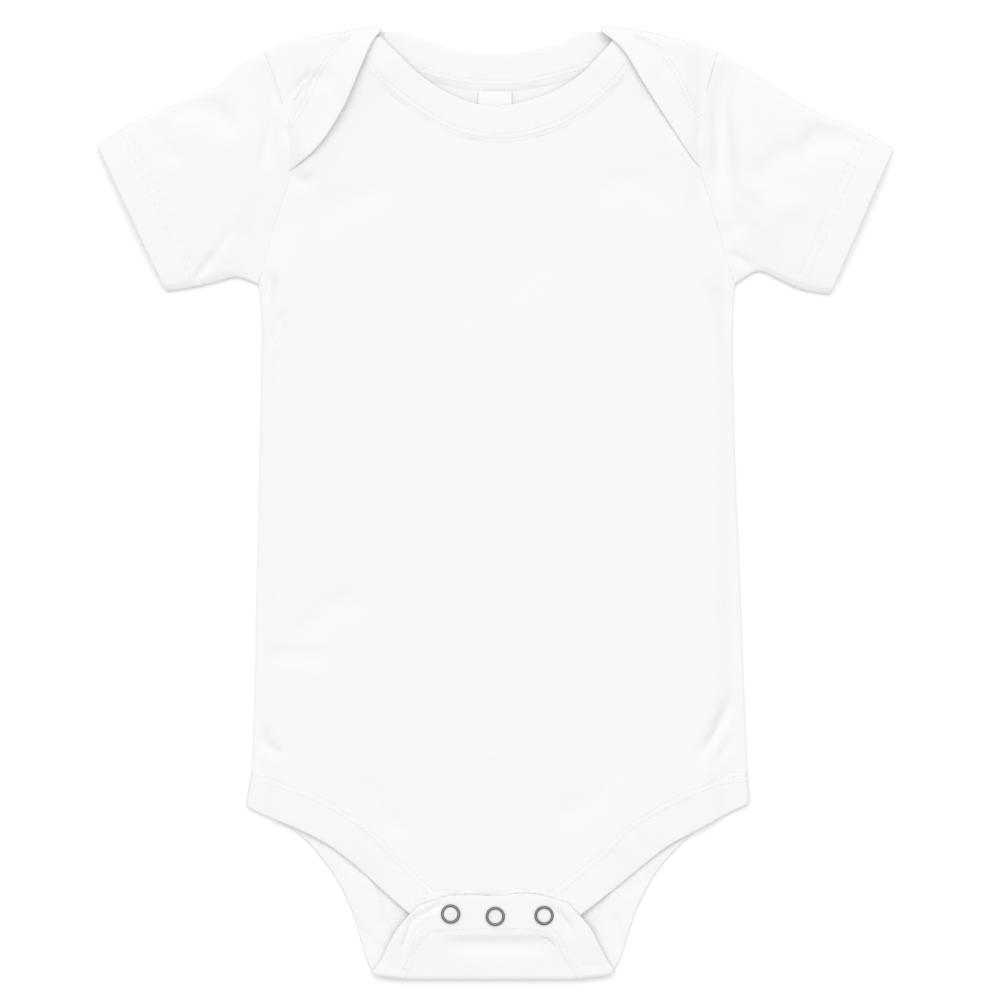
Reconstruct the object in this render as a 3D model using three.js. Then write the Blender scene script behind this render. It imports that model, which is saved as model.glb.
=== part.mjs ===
// Baby bodysuit with lapped shoulders, short sleeves and a snapped crotch, laid flat on its back.
// Units are millimetres. X runs to the wearer's left, Y to the neck and Z up from the surface.
// The origin is the middle of the outline's box, on the surface that the suit lies on.
import * as THREE from "three";

// Cloth and clearances
const CLOTH = 1.0; // wall of a panel or a sleeve
const HEM = 1.2; // turned sleeve hem; less than the radius of the sleeve's edges
const BAND = 1.6; // folded binding or placket, from face to face
const SEAM_GAP = 0.45; // between two pieces that are sewn edge to edge
const SEAM_EASE = 0.5; // more, where a curved seam's two sides have other corners
const LAYER_GAP = 0.35; // between two layers that lie on each other

// How far the upper layers stand off the surface
const FRONT_EDGE_Z = 2 * CLOTH + LAYER_GAP; // outer face of the front at its side seams
const LOFT = 1.6; // rise of the front between its seams
const EDGE_FALL = 26; // width over which it falls to the seams
const BODY_HALF = 110; // half width of the body that the loft is measured from
const ARMHOLE_INSET = 13; // how much narrower the yoke is
const LAP_RISE = 1.65; // from the front's outer face to the middle of the lap on it
const LEG_FRONT_Z = 2.75; // middle of the front arm of a leg band
const PLACKET_Z = 3.0; // middle of the front placket
const FLAP_FOLD_Z = 3.2; // middle of the crotch flap just after its fold
const FLAP_PLACKET_Z = 6.45; // middle of the flap's placket, over the closed snaps
const PLACKET_BAND_Y = -190; // height on the body at which the flap is level
const CROTCH_FOLD_Y = -219.6; // lowest line of the suit, where the back turns up over the front

// Sleeves
const SLEEVE_EDGE = 2.8; // height of the flattened tube at its two folded edges
const SLEEVE_PUFF = 1.7; // more height in its middle
const SLEEVE_PUFF_SEAM = 0.5; // the same at the armhole
const HEM_DEPTH = 16.5;

// Snaps
const SNAP_OUTER = 4.4; // radius of the open ring
const SNAP_INNER = 3.0;
const SNAP_RING_H = 0.8;
const SNAP_BACK_H = 0.55; // ring behind the front placket
const SOCKET_R = 3.6;
const STUD_POST_R = 1.5;
const SNAP_SEGMENTS = 18;
const SNAP_CLEAR = 0.3;

// Neck label
const LABEL = { left: -8.1, right: 7.6, top: 189.1, bottom: 174.5, wall: 1.0 };

// Turns rows of numbers into records whose fields are the named columns.
function table(columns, rows) {
  const names = columns.split(" ");
  return rows.map((row) => Object.fromEntries(names.map((name, i) => [name, row[i]])));
}

// Armhole seams from the shoulder fold to the underarm
const ARMHOLE = table("rightX rightY leftX leftY", [
  [-106.2, 207.2, 102.1, 207.3],
  [-100.3, 191.6, 97.3, 190.0],
  [-96.6, 174.7, 93.7, 173.2],
  [-94.5, 152.0, 93.8, 156.0],
  [-100.3, 132.9, 98.8, 139.0],
  [-105.0, 116.0, 104.5, 119.0],
  [-109.0, 100.0, 110.0, 100.0],
]);

// Side seams from the underarm to the leg openings
const SIDE = table("y rightX leftX", [
  [100.0, -109.0, 110.0],
  [88.0, -107.4, 108.9],
  [24.0, -108.3, 109.7],
  [-45.0, -109.7, 112.5],
  [-100.0, -110.9, 114.5],
  [-124.4, -112.2, 115.7],
]);

// Shoulder folds from the armhole to the neckband
const SHOULDER = table("rightX rightY leftX leftY", [
  [-106.2, 207.2, 102.1, 207.3],
  [-96.5, 210.8, 93.5, 210.6],
  [-84.0, 214.2, 81.5, 213.9],
  [-71.5, 216.4, 68.8, 216.9],
]);

// Front neckband from the wearer's right shoulder to the left one
const FRONT_NECK = table("seamX seamY edgeX edgeY", [
  [-67.9, 210.0, -52.7, 214.1],
  [-56.4, 194.3, -43.0, 204.5],
  [-45.3, 184.7, -33.4, 195.7],
  [-29.2, 173.7, -20.9, 187.9],
  [-14.5, 167.4, -9.4, 183.5],
  [1.6, 165.1, 1.2, 182.2],
  [16.3, 166.8, 11.7, 184.0],
  [36.6, 174.6, 26.0, 188.8],
  [51.8, 186.5, 38.9, 196.7],
  [60.0, 194.8, 47.1, 204.9],
  [71.1, 210.0, 55.4, 214.1],
]);

// Back neckband between the shoulder folds
const BACK_NECK = table("seamX seamY edgeX edgeY", [
  [-63.2, 208.2, -47.6, 216.6],
  [-46.2, 199.0, -39.8, 215.3],
  [-32.0, 194.8, -30.1, 211.6],
  [-18.6, 191.6, -17.7, 207.9],
  [-1.2, 189.8, -1.2, 206.3],
  [16.3, 191.1, 15.4, 207.7],
  [34.7, 195.3, 30.6, 211.8],
  [48.1, 200.3, 38.9, 215.5],
  [61.0, 208.2, 44.4, 216.6],
]);
const SHOULDER_TURN = {
  right: { seam: [-71.5, 216.4], edge: [-52.7, 219.6] },
  left: { seam: [68.8, 216.9], edge: [48.5, 219.5] },
};

// The same band on the laps, from the shoulder fold down to the armhole
const LAP_BAND = {
  right: table("seamX seamY edgeX edgeY", [
    [-76.1, 209.1, -55.9, 211.8],
    [-84.0, 197.6, -61.0, 199.9],
    [-89.9, 186.5, -69.2, 180.6],
    [-94.0, 178.6, -81.7, 162.2],
    [-95.6, 175.6, -93.2, 153.2],
  ]),
  left: table("seamX seamY edgeX edgeY", [
    [75.7, 210.6, 54.1, 211.8],
    [82.1, 203.4, 59.1, 206.0],
    [88.1, 194.0, 66.5, 193.4],
    [91.9, 186.4, 77.5, 176.4],
    [93.5, 181.6, 92.6, 155.2],
  ]),
};

// Leg bands: the front arm from the side seam to the placket
const LEG_FRONT = {
  right: table("seamX seamY edgeX edgeY", [
    [-104.7, -125.8, -107.4, -143.4],
    [-88.1, -131.1, -91.3, -150.0],
    [-71.1, -139.6, -76.6, -157.6],
    [-57.7, -148.6, -64.2, -167.2],
    [-42.1, -164.5, -50.6, -179.6],
    [-28.4, -177.6, -38.0, -190.4],
  ]),
  left: table("seamX seamY edgeX edgeY", [
    [103.3, -126.2, 107.0, -143.0],
    [87.8, -132.1, 92.6, -150.7],
    [73.8, -139.1, 79.4, -157.9],
    [61.4, -146.8, 68.4, -166.4],
    [50.5, -157.7, 57.3, -175.6],
    [28.4, -176.2, 39.4, -189.6],
  ]),
};

// Leg bands: the back arm from the side seam to the crotch fold
const LEG_BACK = {
  right: table("seamX seamY edgeX edgeY", [
    [-102.8, -126.3, -105.6, -144.2],
    [-86.2, -135.0, -90.0, -152.9],
    [-74.1, -145.3, -80.7, -162.6],
    [-64.9, -156.9, -72.6, -174.2],
    [-57.6, -170.4, -66.6, -186.6],
    [-51.6, -186.2, -61.8, -201.8],
    [-44.6, -206.8, -58.4, -212.4],
  ]),
  left: table("seamX seamY edgeX edgeY", [
    [104.2, -127.7, 107.6, -143.2],
    [89.3, -134.6, 94.6, -149.8],
    [75.2, -145.2, 84.2, -158.3],
    [64.4, -156.6, 73.8, -170.4],
    [54.1, -173.7, 65.4, -186.0],
    [47.5, -190.0, 60.7, -199.6],
    [41.4, -207.6, 57.6, -209.6],
  ]),
};
const HIP_TURN = {
  right: { seam: [-112.2, -124.9], edge: [-115.0, -140.4] },
  left: { seam: [115.7, -124.9], edge: [117.1, -139.0] },
};
const CROTCH_TURN = {
  right: { seam: [-40.6, CROTCH_FOLD_Y], edge: [-56.8, CROTCH_FOLD_Y + 1.6] },
  left: { seam: [36.6, CROTCH_FOLD_Y], edge: [54.6, CROTCH_FOLD_Y + 2] },
};

// Leg bands: the part on the crotch flap, from the fold up to its placket
const LEG_FLAP = {
  right: table("seamX seamY edgeX edgeY", [
    [-37.4, -211.6, -52.4, -209.4],
    [-35.4, -205.4, -48.8, -201.8],
    [-32.9, -200.4, -43.4, -193.4],
    [-29.9, -198.0, -36.2, -185.4],
  ]),
  left: table("seamX seamY edgeX edgeY", [
    [32.2, -211.6, 51.6, -210.4],
    [29.4, -206.0, 48.2, -204.0],
    [27.6, -201.6, 43.6, -195.2],
    [25.2, -199.2, 34.0, -184.4],
  ]),
};

// Plackets from the wearer's right to the left: their seamed side and their free edge
const FLAP_PLACKET = table("seamX seamY edgeX edgeY", [
  [-29.2, -197.8, -35.4, -184.8],
  [-20.9, -197.6, -21.8, -180.7],
  [-10.8, -197.3, -10.8, -180.1],
  [-0.2, -197.1, -0.2, -180.5],
  [10.3, -197.1, 10.3, -179.5],
  [18.6, -197.8, 20.0, -180.0],
  [24.4, -198.8, 33.2, -183.8],
]);
const FRONT_PLACKET = table("seamX seamY edgeX edgeY", [
  [-27.6, -178.2, -36.6, -191.6],
  [-20.9, -179.6, -25.5, -196.7],
  [-11.7, -177.9, -12.7, -197.1],
  [-0.2, -179.2, -0.2, -197.1],
  [11.3, -177.6, 12.2, -197.1],
  [20.8, -178.0, 24.1, -196.7],
  [27.4, -176.8, 37.6, -191.0],
]);
const LAP_TIP = { right: 176.6, left: 183.0 }; // height on the body at which a lap runs out

const SNAPS = table("name x y", [
  ["right", -20.6, -188.8],
  ["middle", -0.1, -189.9],
  ["left", 22.3, -189.5],
]);

// Folded edges of the sleeves from the armhole to the cuff: shoulder side and underarm side
const SLEEVE = {
  right: table("topX topY lowX lowY", [
    [-106.2, 207.2, -109.0, 100.0],
    [-117.2, 201.2, -118.9, 103.4],
    [-126.3, 192.9, -127.0, 101.6],
    [-139.6, 186.5, -135.6, 99.5],
    [-152.5, 181.3, -141.2, 98.5],
    [-169.1, 173.9, -146.4, 97.6],
    [-182.9, 164.1, -151.4, 97.2],
  ]),
  left: table("topX topY lowX lowY", [
    [102.1, 207.3, 110.0, 100.0],
    [113.6, 200.7, 120.9, 106.2],
    [125.4, 192.9, 129.5, 102.8],
    [139.8, 184.2, 137.6, 99.0],
    [154.6, 176.8, 144.0, 97.0],
    [168.6, 171.4, 148.8, 96.2],
    [182.9, 163.2, 153.6, 95.7],
  ]),
};

// Largest folds of the upper layers; a negative depth is a ridge
const FOLDS = table("fromX fromY toX toY width depth", [
  [-104, 103, -97, 72, 6, 1.0],
  [-136, 104, -122, 124, 7, 1.3],
  [-143, 181, -120, 183, 8, 1.0],
  [-156, 172, -140, 150, 9, 0.7],
  [107, 200, 105, 134, 8, 1.2],
  [158, 171, 117, 152, 11, 1.2],
  [139, 140, 122, 122, 9, -0.8],
  [104, 125, 120, 127, 5, 0.8],
  [100, 103, 107, 80, 6, 1.0],
  [113, -85, 97, -112, 6, 1.2],
  [-111, -103, -100, -116, 6, 0.9],
  [-95, -58, -60, -46, 10, 0.6],
  [-60, 60, 40, 96, 18, -0.5],
  [70, 10, 20, -60, 20, 0.5],
]);

const ARMHOLE_STEPS = 12;
const FRONT_LEG_STEPS = 9;
const BACK_LEG_STEPS = 10;
const SHOULDER_COLUMNS = 4;
const FRONT_NECK_COLUMNS = 14;
const BACK_SHOULDER_COLUMNS = 3;
const BACK_NECK_COLUMNS = 14;
const LAP_STEPS = 5;
const TURN_STEPS = 6;

const point = (x, y, z = 0) => new THREE.Vector3(x, y, z);
const curve = (points) => new THREE.CatmullRomCurve3(points, false, "centripetal");
const path = (rows, x, y) => rows.map((row) => point(row[x], row[y]));
const lerp = THREE.MathUtils.lerp;

function smooth(t) {
  const c = THREE.MathUtils.clamp(t, 0, 1);
  return c * c * (3 - 2 * c);
}

// How deep the folds are at a place, from the nearest point of each fold's line.
function foldDepth(x, y) {
  let depth = 0;
  for (const fold of FOLDS) {
    const dx = fold.toX - fold.fromX;
    const dy = fold.toY - fold.fromY;
    const t = ((x - fold.fromX) * dx + (y - fold.fromY) * dy) / (dx * dx + dy * dy);
    const along = THREE.MathUtils.clamp(t, 0, 1);
    const away = Math.hypot(x - fold.fromX - along * dx, y - fold.fromY - along * dy);
    depth += fold.depth * Math.exp(-((away / fold.width) ** 2));
  }
  return depth;
}

// Outer face of the front: level with its seams at the edges, lofted between them.
function frontTop(x, y) {
  const half = BODY_HALF - ARMHOLE_INSET * smooth((y - 95) / 45);
  const rise = smooth((half - Math.abs(x)) / EDGE_FALL);
  return FRONT_EDGE_Z + rise * (LOFT - foldDepth(x, y));
}

// Middle of a lap or its band where it lies on the front.
const lapMiddle = (x, y) => frontTop(x, y) + LAP_RISE;

// Middle of the crotch flap, which climbs from its fold onto the closed snaps.
function flapMiddle(y) {
  const climb = smooth((y - CROTCH_FOLD_Y - 3) / (PLACKET_BAND_Y - CROTCH_FOLD_Y - 3));
  return lerp(FLAP_FOLD_Z, FLAP_PLACKET_Z, climb);
}

// Makes a mesh from triangles over shared points and turns them outwards.
function solid(name, points, triangles, material) {
  let volume = 0;
  for (const [a, b, c] of triangles) {
    volume += points[a].dot(point(0, 0).crossVectors(points[b], points[c]));
  }
  const turned = volume < 0 ? triangles.map(([a, b, c]) => [a, c, b]) : triangles;
  const geometry = new THREE.BufferGeometry().setFromPoints(points);
  geometry.setIndex(turned.flat());
  geometry.computeVertexNormals();
  const mesh = new THREE.Mesh(geometry, material);
  mesh.name = name;
  return mesh;
}

// A wall of cloth: grids of points on its outer face, each with a thickness inwards.
// Grids that share point objects are joined there. The order of a quad's corners gives its face.
function wall(name, grids, material, flip) {
  const index = new Map();
  const outer = [];
  const quads = [];
  const number = (p) => {
    if (!index.has(p)) {
      index.set(p, outer.length);
      outer.push(p);
    }
    return index.get(p);
  };
  for (const rows of grids) {
    for (let i = 0; i + 1 < rows.length; i++) {
      for (let j = 0; j + 1 < rows[i].length; j++) {
        const corners = [rows[i][j], rows[i][j + 1], rows[i + 1][j + 1], rows[i + 1][j]];
        const quad = corners.map(number);
        quads.push(flip ? quad.reverse() : quad);
      }
    }
  }
  const normals = outer.map(() => point(0, 0));
  for (const [a, b, c, d] of quads) {
    const side = point(0, 0).subVectors(outer[c], outer[a]);
    const other = point(0, 0).subVectors(outer[d], outer[b]);
    const face = side.cross(other);
    for (const corner of [a, b, c, d]) normals[corner].add(face);
  }
  const inner = outer.map((p, i) => {
    return p.clone().addScaledVector(normals[i].normalize(), -(p.wall ?? CLOTH));
  });
  const count = outer.length;
  const edges = new Map();
  const triangles = [];
  for (const quad of quads) {
    const [a, b, c, d] = quad;
    triangles.push([a, b, c], [a, c, d]);
    triangles.push([a + count, c + count, b + count], [a + count, d + count, c + count]);
    quad.forEach((from, k) => {
      const to = quad[(k + 1) % 4];
      const back = `${to},${from}`;
      if (edges.has(back)) edges.delete(back);
      else edges.set(`${from},${to}`, [from, to]);
    });
  }
  for (const [from, to] of edges.values()) {
    triangles.push([to, from, from + count], [to, from + count, to + count]);
  }
  return solid(name, [...outer, ...inner], triangles, material);
}

// Fills the area inside four edges: near and far run across, right and left join their ends.
function patch(near, far, right, left) {
  const across = near.length - 1;
  const along = right.length - 1;
  const rows = [];
  for (let i = 0; i <= along; i++) {
    const w = i / along;
    rows.push(
      near.map((p, j) => {
        const u = j / across;
        return point(0, 0)
          .addScaledVector(p, 1 - w)
          .addScaledVector(far[j], w)
          .addScaledVector(right[i], 1 - u)
          .addScaledVector(left[i], u)
          .addScaledVector(near[0], -(1 - u) * (1 - w))
          .addScaledVector(near[across], -u * (1 - w))
          .addScaledVector(far[0], -(1 - u) * w)
          .addScaledVector(far[across], -u * w);
      }),
    );
  }
  return rows;
}

// Straight row of points between two ends.
function row(from, to, columns) {
  return Array.from({ length: columns + 1 }, (_, j) => from.clone().lerp(to, j / columns));
}

// Rows of the body between its side seams, from the leg openings up to the underarms.
function bodyRows(columns, steps) {
  const rising = [...SIDE].reverse();
  const right = curve(path(rising, "rightX", "y")).getSpacedPoints(steps);
  const left = curve(path(rising, "leftX", "y")).getSpacedPoints(steps);
  return right.map((p, i) => row(p, left[i], columns));
}

// Points down an armhole seam. The body and the sleeve both use them, so the seam stays even.
function armhole(side) {
  return curve(path(ARMHOLE, `${side}X`, `${side}Y`)).getSpacedPoints(ARMHOLE_STEPS);
}

// Direction out over a shoulder fold, from along the armhole to straight up at the neck.
function shoulderOutward(side, fromArmhole) {
  const [top, next] = armhole(side);
  return point(lerp((top.x - next.x) / (top.y - next.y), 0, fromArmhole), 1);
}

// Rows from the underarms up to a given neckline and shoulder edge.
function yokeRows(underarm, top) {
  const right = [...armhole("right").slice(1).reverse(), top[0]];
  const left = [...armhole("left").slice(1).reverse(), top[top.length - 1]];
  return patch(underarm, top, right, left);
}

// Rows from a crotch edge up to the leg openings.
function legRows(crotch, hips, bands, steps) {
  const side = (rows, turn) => {
    const points = [point(...turn.seam), ...path(rows, "seamX", "seamY")];
    return points.map((p) => point(p.x, p.y + SEAM_EASE)).reverse();
  };
  const right = side(bands.right, HIP_TURN.right);
  const left = side(bands.left, HIP_TURN.left);
  right[0] = crotch[0];
  left[0] = crotch[crotch.length - 1];
  return patch(crotch, hips, curve(right).getPoints(steps), curve(left).getPoints(steps));
}

// The front: one layer from the placket to the shoulders, with the laps of the back over it.
function frontPanel(material) {
  const columns = 2 * SHOULDER_COLUMNS + FRONT_NECK_COLUMNS;
  const body = bodyRows(columns, 16);
  const tuck = 2.8; // the front ends this far inside the shoulder folds
  const neck = curve(path(FRONT_NECK, "seamX", "seamY")).getPoints(FRONT_NECK_COLUMNS);
  const shoulder = (side, end) => {
    const points = path(SHOULDER, `${side}X`, `${side}Y`).map((p, i) => {
      return p.addScaledVector(shoulderOutward(side, i / (SHOULDER.length - 1)), -tuck);
    });
    points[points.length - 1] = end;
    return curve(points).getSpacedPoints(SHOULDER_COLUMNS).slice(0, -1);
  };
  const right = shoulder("right", neck[0]);
  const left = shoulder("left", neck[neck.length - 1]).reverse();
  const yoke = yokeRows(body[body.length - 1], [...right, ...neck, ...left]);
  const seam = path(FRONT_PLACKET, "seamX", "seamY").map((p) => point(p.x, p.y + SEAM_EASE / 2));
  const crotch = curve(seam).getSpacedPoints(columns);
  const legs = legRows(crotch, body[0], LEG_FRONT, FRONT_LEG_STEPS);
  const rows = [...legs.slice(0, -1), ...body.slice(0, -1), ...yoke];
  for (const p of rows.flat()) p.z = frontTop(p.x, p.y);
  return wall("front_panel", [rows], material, false);
}

// A half turn of a panel's outer face round a fold, from the lower layer to the upper one.
function foldRows(outline, outward, height) {
  const rows = [];
  for (let i = 0; i <= TURN_STEPS; i++) {
    const angle = (Math.PI * i) / TURN_STEPS;
    rows.push(
      outline.map((p, j) => {
        const radius = height(p) / 2;
        const place = p.clone().addScaledVector(outward(j), radius * (Math.sin(angle) - 1));
        return place.setZ(radius * (1 - Math.cos(angle)));
      }),
    );
  }
  return rows;
}

// One lap of the back: round the shoulder fold and down the front, between armhole and band.
function lapRows(side) {
  const sign = side === "right" ? -1 : 1;
  const shoulder = curve(path(SHOULDER, `${side}X`, `${side}Y`));
  const outline = shoulder.getSpacedPoints(BACK_SHOULDER_COLUMNS);
  outline[BACK_SHOULDER_COLUMNS].x += sign * SEAM_EASE;
  const fold = foldRows(
    outline,
    (j) => shoulderOutward(side, j / BACK_SHOULDER_COLUMNS),
    (p) => lapMiddle(p.x, p.y) + CLOTH / 2,
  );
  const near = fold[TURN_STEPS];
  const tipY = LAP_TIP[side];
  const outer = armhole(side).filter((p) => p.y > tipY && p.y < near[0].y);
  const end = curve(path(ARMHOLE, `${side}X`, `${side}Y`));
  let tip = near[0];
  for (const p of end.getSpacedPoints(200)) if (p.y > tipY) tip = p;
  const inner = path(LAP_BAND[side], "seamX", "seamY").filter((p) => p.y > tipY + 1);
  const seamSide = inner.map((p) => point(p.x + sign * SEAM_EASE, p.y + SEAM_EASE));
  seamSide.push(point(tip.x - sign, tip.y));
  const left = curve([near[0], ...outer, tip]).getSpacedPoints(LAP_STEPS);
  const right = curve([near[BACK_SHOULDER_COLUMNS], ...seamSide]).getSpacedPoints(LAP_STEPS);
  const far = row(tip, seamSide[seamSide.length - 1], BACK_SHOULDER_COLUMNS);
  const rows = patch(near, far, left, right);
  for (const p of rows.flat()) p.z = lapMiddle(p.x, p.y) + CLOTH / 2;
  const all = [...fold, ...rows.slice(1)];
  return side === "right" ? all : all.map((line) => line.reverse());
}

// The back: flat on the surface, with a lap over each shoulder and a flap up over the crotch.
function backPanel(material) {
  const columns = 2 * BACK_SHOULDER_COLUMNS + BACK_NECK_COLUMNS;
  const body = bodyRows(columns, 12);
  const rightLap = lapRows("right");
  const leftLap = lapRows("left");
  const neck = curve([
    rightLap[0][BACK_SHOULDER_COLUMNS],
    ...path(BACK_NECK, "seamX", "seamY"),
    leftLap[0][0],
  ]).getPoints(BACK_NECK_COLUMNS);
  const top = [...rightLap[0], ...neck.slice(1, -1), ...leftLap[0]];
  const yoke = yokeRows(body[body.length - 1], top);
  const yokeTop = yoke[yoke.length - 1];
  rightLap[0] = yokeTop.slice(0, BACK_SHOULDER_COLUMNS + 1);
  leftLap[0] = yokeTop.slice(-BACK_SHOULDER_COLUMNS - 1);

  const foldEnds = [CROTCH_TURN.right.seam, CROTCH_TURN.left.seam].map((p) => point(...p));
  const flapOuter = FLAP_FOLD_Z + CLOTH / 2;
  const turn = foldRows(
    row(foldEnds[0], foldEnds[1], columns),
    () => point(0, -1),
    () => flapOuter,
  );
  const placket = curve(path(FLAP_PLACKET, "seamX", "seamY")).getPoints(columns);
  const flapSide = (side, end, tip) => {
    const ease = side === "right" ? SEAM_EASE : -SEAM_EASE;
    const points = path(LEG_FLAP[side].slice(0, -1), "seamX", "seamY");
    const eased = points.map((p) => point(p.x + ease, p.y));
    return curve([end, ...eased, tip]).getSpacedPoints(5);
  };
  const turned = turn[TURN_STEPS];
  const flap = patch(
    turned,
    placket,
    flapSide("right", turned[0], placket[0]),
    flapSide("left", turned[columns], placket[columns]),
  );
  for (const p of flap.flat()) p.z = flapMiddle(p.y) + CLOTH / 2;
  const legs = legRows(turn[0], body[0], LEG_BACK, BACK_LEG_STEPS);
  const rows = [
    ...flap.slice(1).reverse(),
    ...turn.slice(1).reverse(),
    ...legs.slice(0, -1),
    ...body.slice(0, -1),
    ...yoke,
  ];
  return wall("back_panel", [rows, rightLap, leftLap], material, true);
}

// A flattened sleeve: a closed loop of points at each station from the armhole to the cuff.
function sleeve(side, material) {
  const sign = side === "right" ? -1 : 1;
  const shift = point(sign * (SEAM_GAP + SEAM_EASE / 2), 0);
  const rows = SLEEVE[side];
  const cuffTop = rows[rows.length - 1];
  const last = ARMHOLE_STEPS;
  const cuff = row(point(cuffTop.topX, cuffTop.topY), point(cuffTop.lowX, cuffTop.lowY), last);
  const steps = 9;
  const grid = patch(
    armhole(side),
    cuff,
    curve(path(rows, "topX", "topY")).getPoints(steps),
    curve(path(rows, "lowX", "lowY")).getPoints(steps),
  ).map((line) => line.map((p) => p.add(shift)));
  const radius = SLEEVE_EDGE / 2;
  const cuffLine = new THREE.Line3(grid[steps][0], grid[steps][last]);
  const nearest = point(0, 0);
  const loops = grid.map((line, i) => {
    const puff = lerp(SLEEVE_PUFF_SEAM, SLEEVE_PUFF, smooth(i / 3));
    const bend = (end, next, angle) => {
      const inwards = point(0, 0).subVectors(next, end).normalize();
      const reach = radius * (1 - Math.sin(angle));
      return point(
        end.x + inwards.x * reach,
        end.y + inwards.y * reach,
        radius * (1 + Math.cos(angle)),
      );
    };
    const upper = line.slice(1, -1).map((p, k) => {
      const across = Math.sin((Math.PI * (k + 1)) / last);
      const raised = SLEEVE_EDGE + across * (puff - foldDepth(p.x, p.y));
      return point(p.x, p.y, raised);
    });
    const lower = [10, 8, 6, 4, 2].map((k) => point(line[k].x, line[k].y, 0));
    const angles = [0, Math.PI / 4, Math.PI / 2, (3 * Math.PI) / 4, Math.PI];
    const underarm = angles.map((angle) => bend(line[last], line[last - 1], angle));
    const top = angles.map((angle) => bend(line[0], line[1], Math.PI - angle));
    const loop = [...upper, ...underarm, ...lower, ...top];
    for (const p of loop) {
      cuffLine.closestPointToPoint(point(p.x, p.y), true, nearest);
      const away = Math.hypot(nearest.x - p.x, nearest.y - p.y);
      p.wall = lerp(HEM, CLOTH, smooth((away - HEM_DEPTH + 1) / 2));
    }
    return [...loop, loop[0]];
  });
  return wall(`sleeve_${side}`, [loops], material, side === "right");
}

// Sections of a band that lies flat: its face is up or down, its middle at the given height.
function run(rows, middle, face, steps, ends = {}) {
  const seam = path(rows, "seamX", "seamY");
  const edge = path(rows, "edgeX", "edgeY");
  if (ends.before) {
    seam.unshift(ends.before.seam);
    edge.unshift(ends.before.edge);
  }
  if (ends.after) {
    seam.push(ends.after.seam);
    edge.push(ends.after.edge);
  }
  const edges = curve(edge).getPoints(steps);
  return curve(seam)
    .getPoints(steps)
    .map((p, i) => ({
      seam: point(p.x, p.y, middle(p.x, p.y)),
      edge: point(edges[i].x, edges[i].y, middle(edges[i].x, edges[i].y)),
      face: point(0, 0, face),
    }));
}

// Sections of a band that turns over a fold, from the lower layer up to the higher one.
function turnOver(fold, outward, low, high) {
  const radius = (high - low) / 2;
  return Array.from({ length: TURN_STEPS + 1 }, (_, i) => {
    const angle = (Math.PI * i) / TURN_STEPS;
    const reach = radius * (Math.sin(angle) - 1) - BAND / 2;
    const place = ([x, y]) => {
      return point(x + outward.x * reach, y + outward.y * reach, low + radius * (1 - Math.cos(angle)));
    };
    return {
      seam: place(fold.seam),
      edge: place(fold.edge),
      face: outward.clone().multiplyScalar(Math.sin(angle)).setZ(-Math.cos(angle)),
    };
  });
}

// A folded strip through its sections: square where it is sewn and round at its free edge.
function band(name, sections, material) {
  const half = BAND / 2;
  const profile = (width) => [
    [SEAM_GAP, -0.6 * half],
    [SEAM_GAP, 0.6 * half],
    [SEAM_GAP + 1.6, half],
    [width - half, half],
    [width - 0.3 * half, 0.7 * half],
    [width, 0],
    [width - 0.3 * half, -0.7 * half],
    [width - half, -half],
    [SEAM_GAP + 1.6, -half],
  ];
  const points = [];
  const triangles = [];
  sections.forEach(({ seam, edge, face }, i) => {
    const across = point(0, 0).subVectors(edge, seam);
    const width = across.length();
    across.normalize();
    const up = face.clone().addScaledVector(across, -face.dot(across)).normalize();
    const ring = profile(width);
    const base = points.length;
    for (const [a, h] of ring) {
      points.push(seam.clone().addScaledVector(across, a).addScaledVector(up, h));
    }
    const corners = ring.length;
    if (i === 0) return;
    for (let k = 0; k < corners; k++) {
      const next = (k + 1) % corners;
      const from = base - corners;
      triangles.push([from + k, from + next, base + next], [from + k, base + next, base + k]);
    }
  });
  const corners = profile(1).length;
  const last = points.length - corners;
  for (let k = 1; k + 1 < corners; k++) {
    triangles.push([0, k + 1, k], [last, last + k, last + k + 1]);
  }
  return solid(name, points, triangles, material);
}

// The back's neckband runs from one lap round the back of the neck to the other.
function backNeckband(material) {
  const low = BAND / 2;
  const shoulderTurn = (side) => {
    const [x, y] = SHOULDER_TURN[side].seam;
    return turnOver(SHOULDER_TURN[side], point(0, 1), low, lapMiddle(x, y));
  };
  const rightTurn = shoulderTurn("right");
  const leftTurn = shoulderTurn("left");
  const lap = (side, turned) => {
    return run(LAP_BAND[side], lapMiddle, 1, 9, { before: turned[TURN_STEPS] }).slice(1);
  };
  const across = run(BACK_NECK, () => low, -1, BACK_NECK_COLUMNS, {
    before: rightTurn[0],
    after: leftTurn[0],
  });
  const sections = [
    ...lap("right", rightTurn).reverse(),
    ...rightTurn.reverse(),
    ...across.slice(1, -1),
    ...leftTurn,
    ...lap("left", leftTurn),
  ];
  return band("neckband_back", sections, material);
}

function frontNeckband(material) {
  const middle = (x, y) => frontTop(x, y) - CLOTH / 2;
  return band("neckband_front", run(FRONT_NECK, middle, 1, FRONT_NECK_COLUMNS), material);
}

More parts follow.
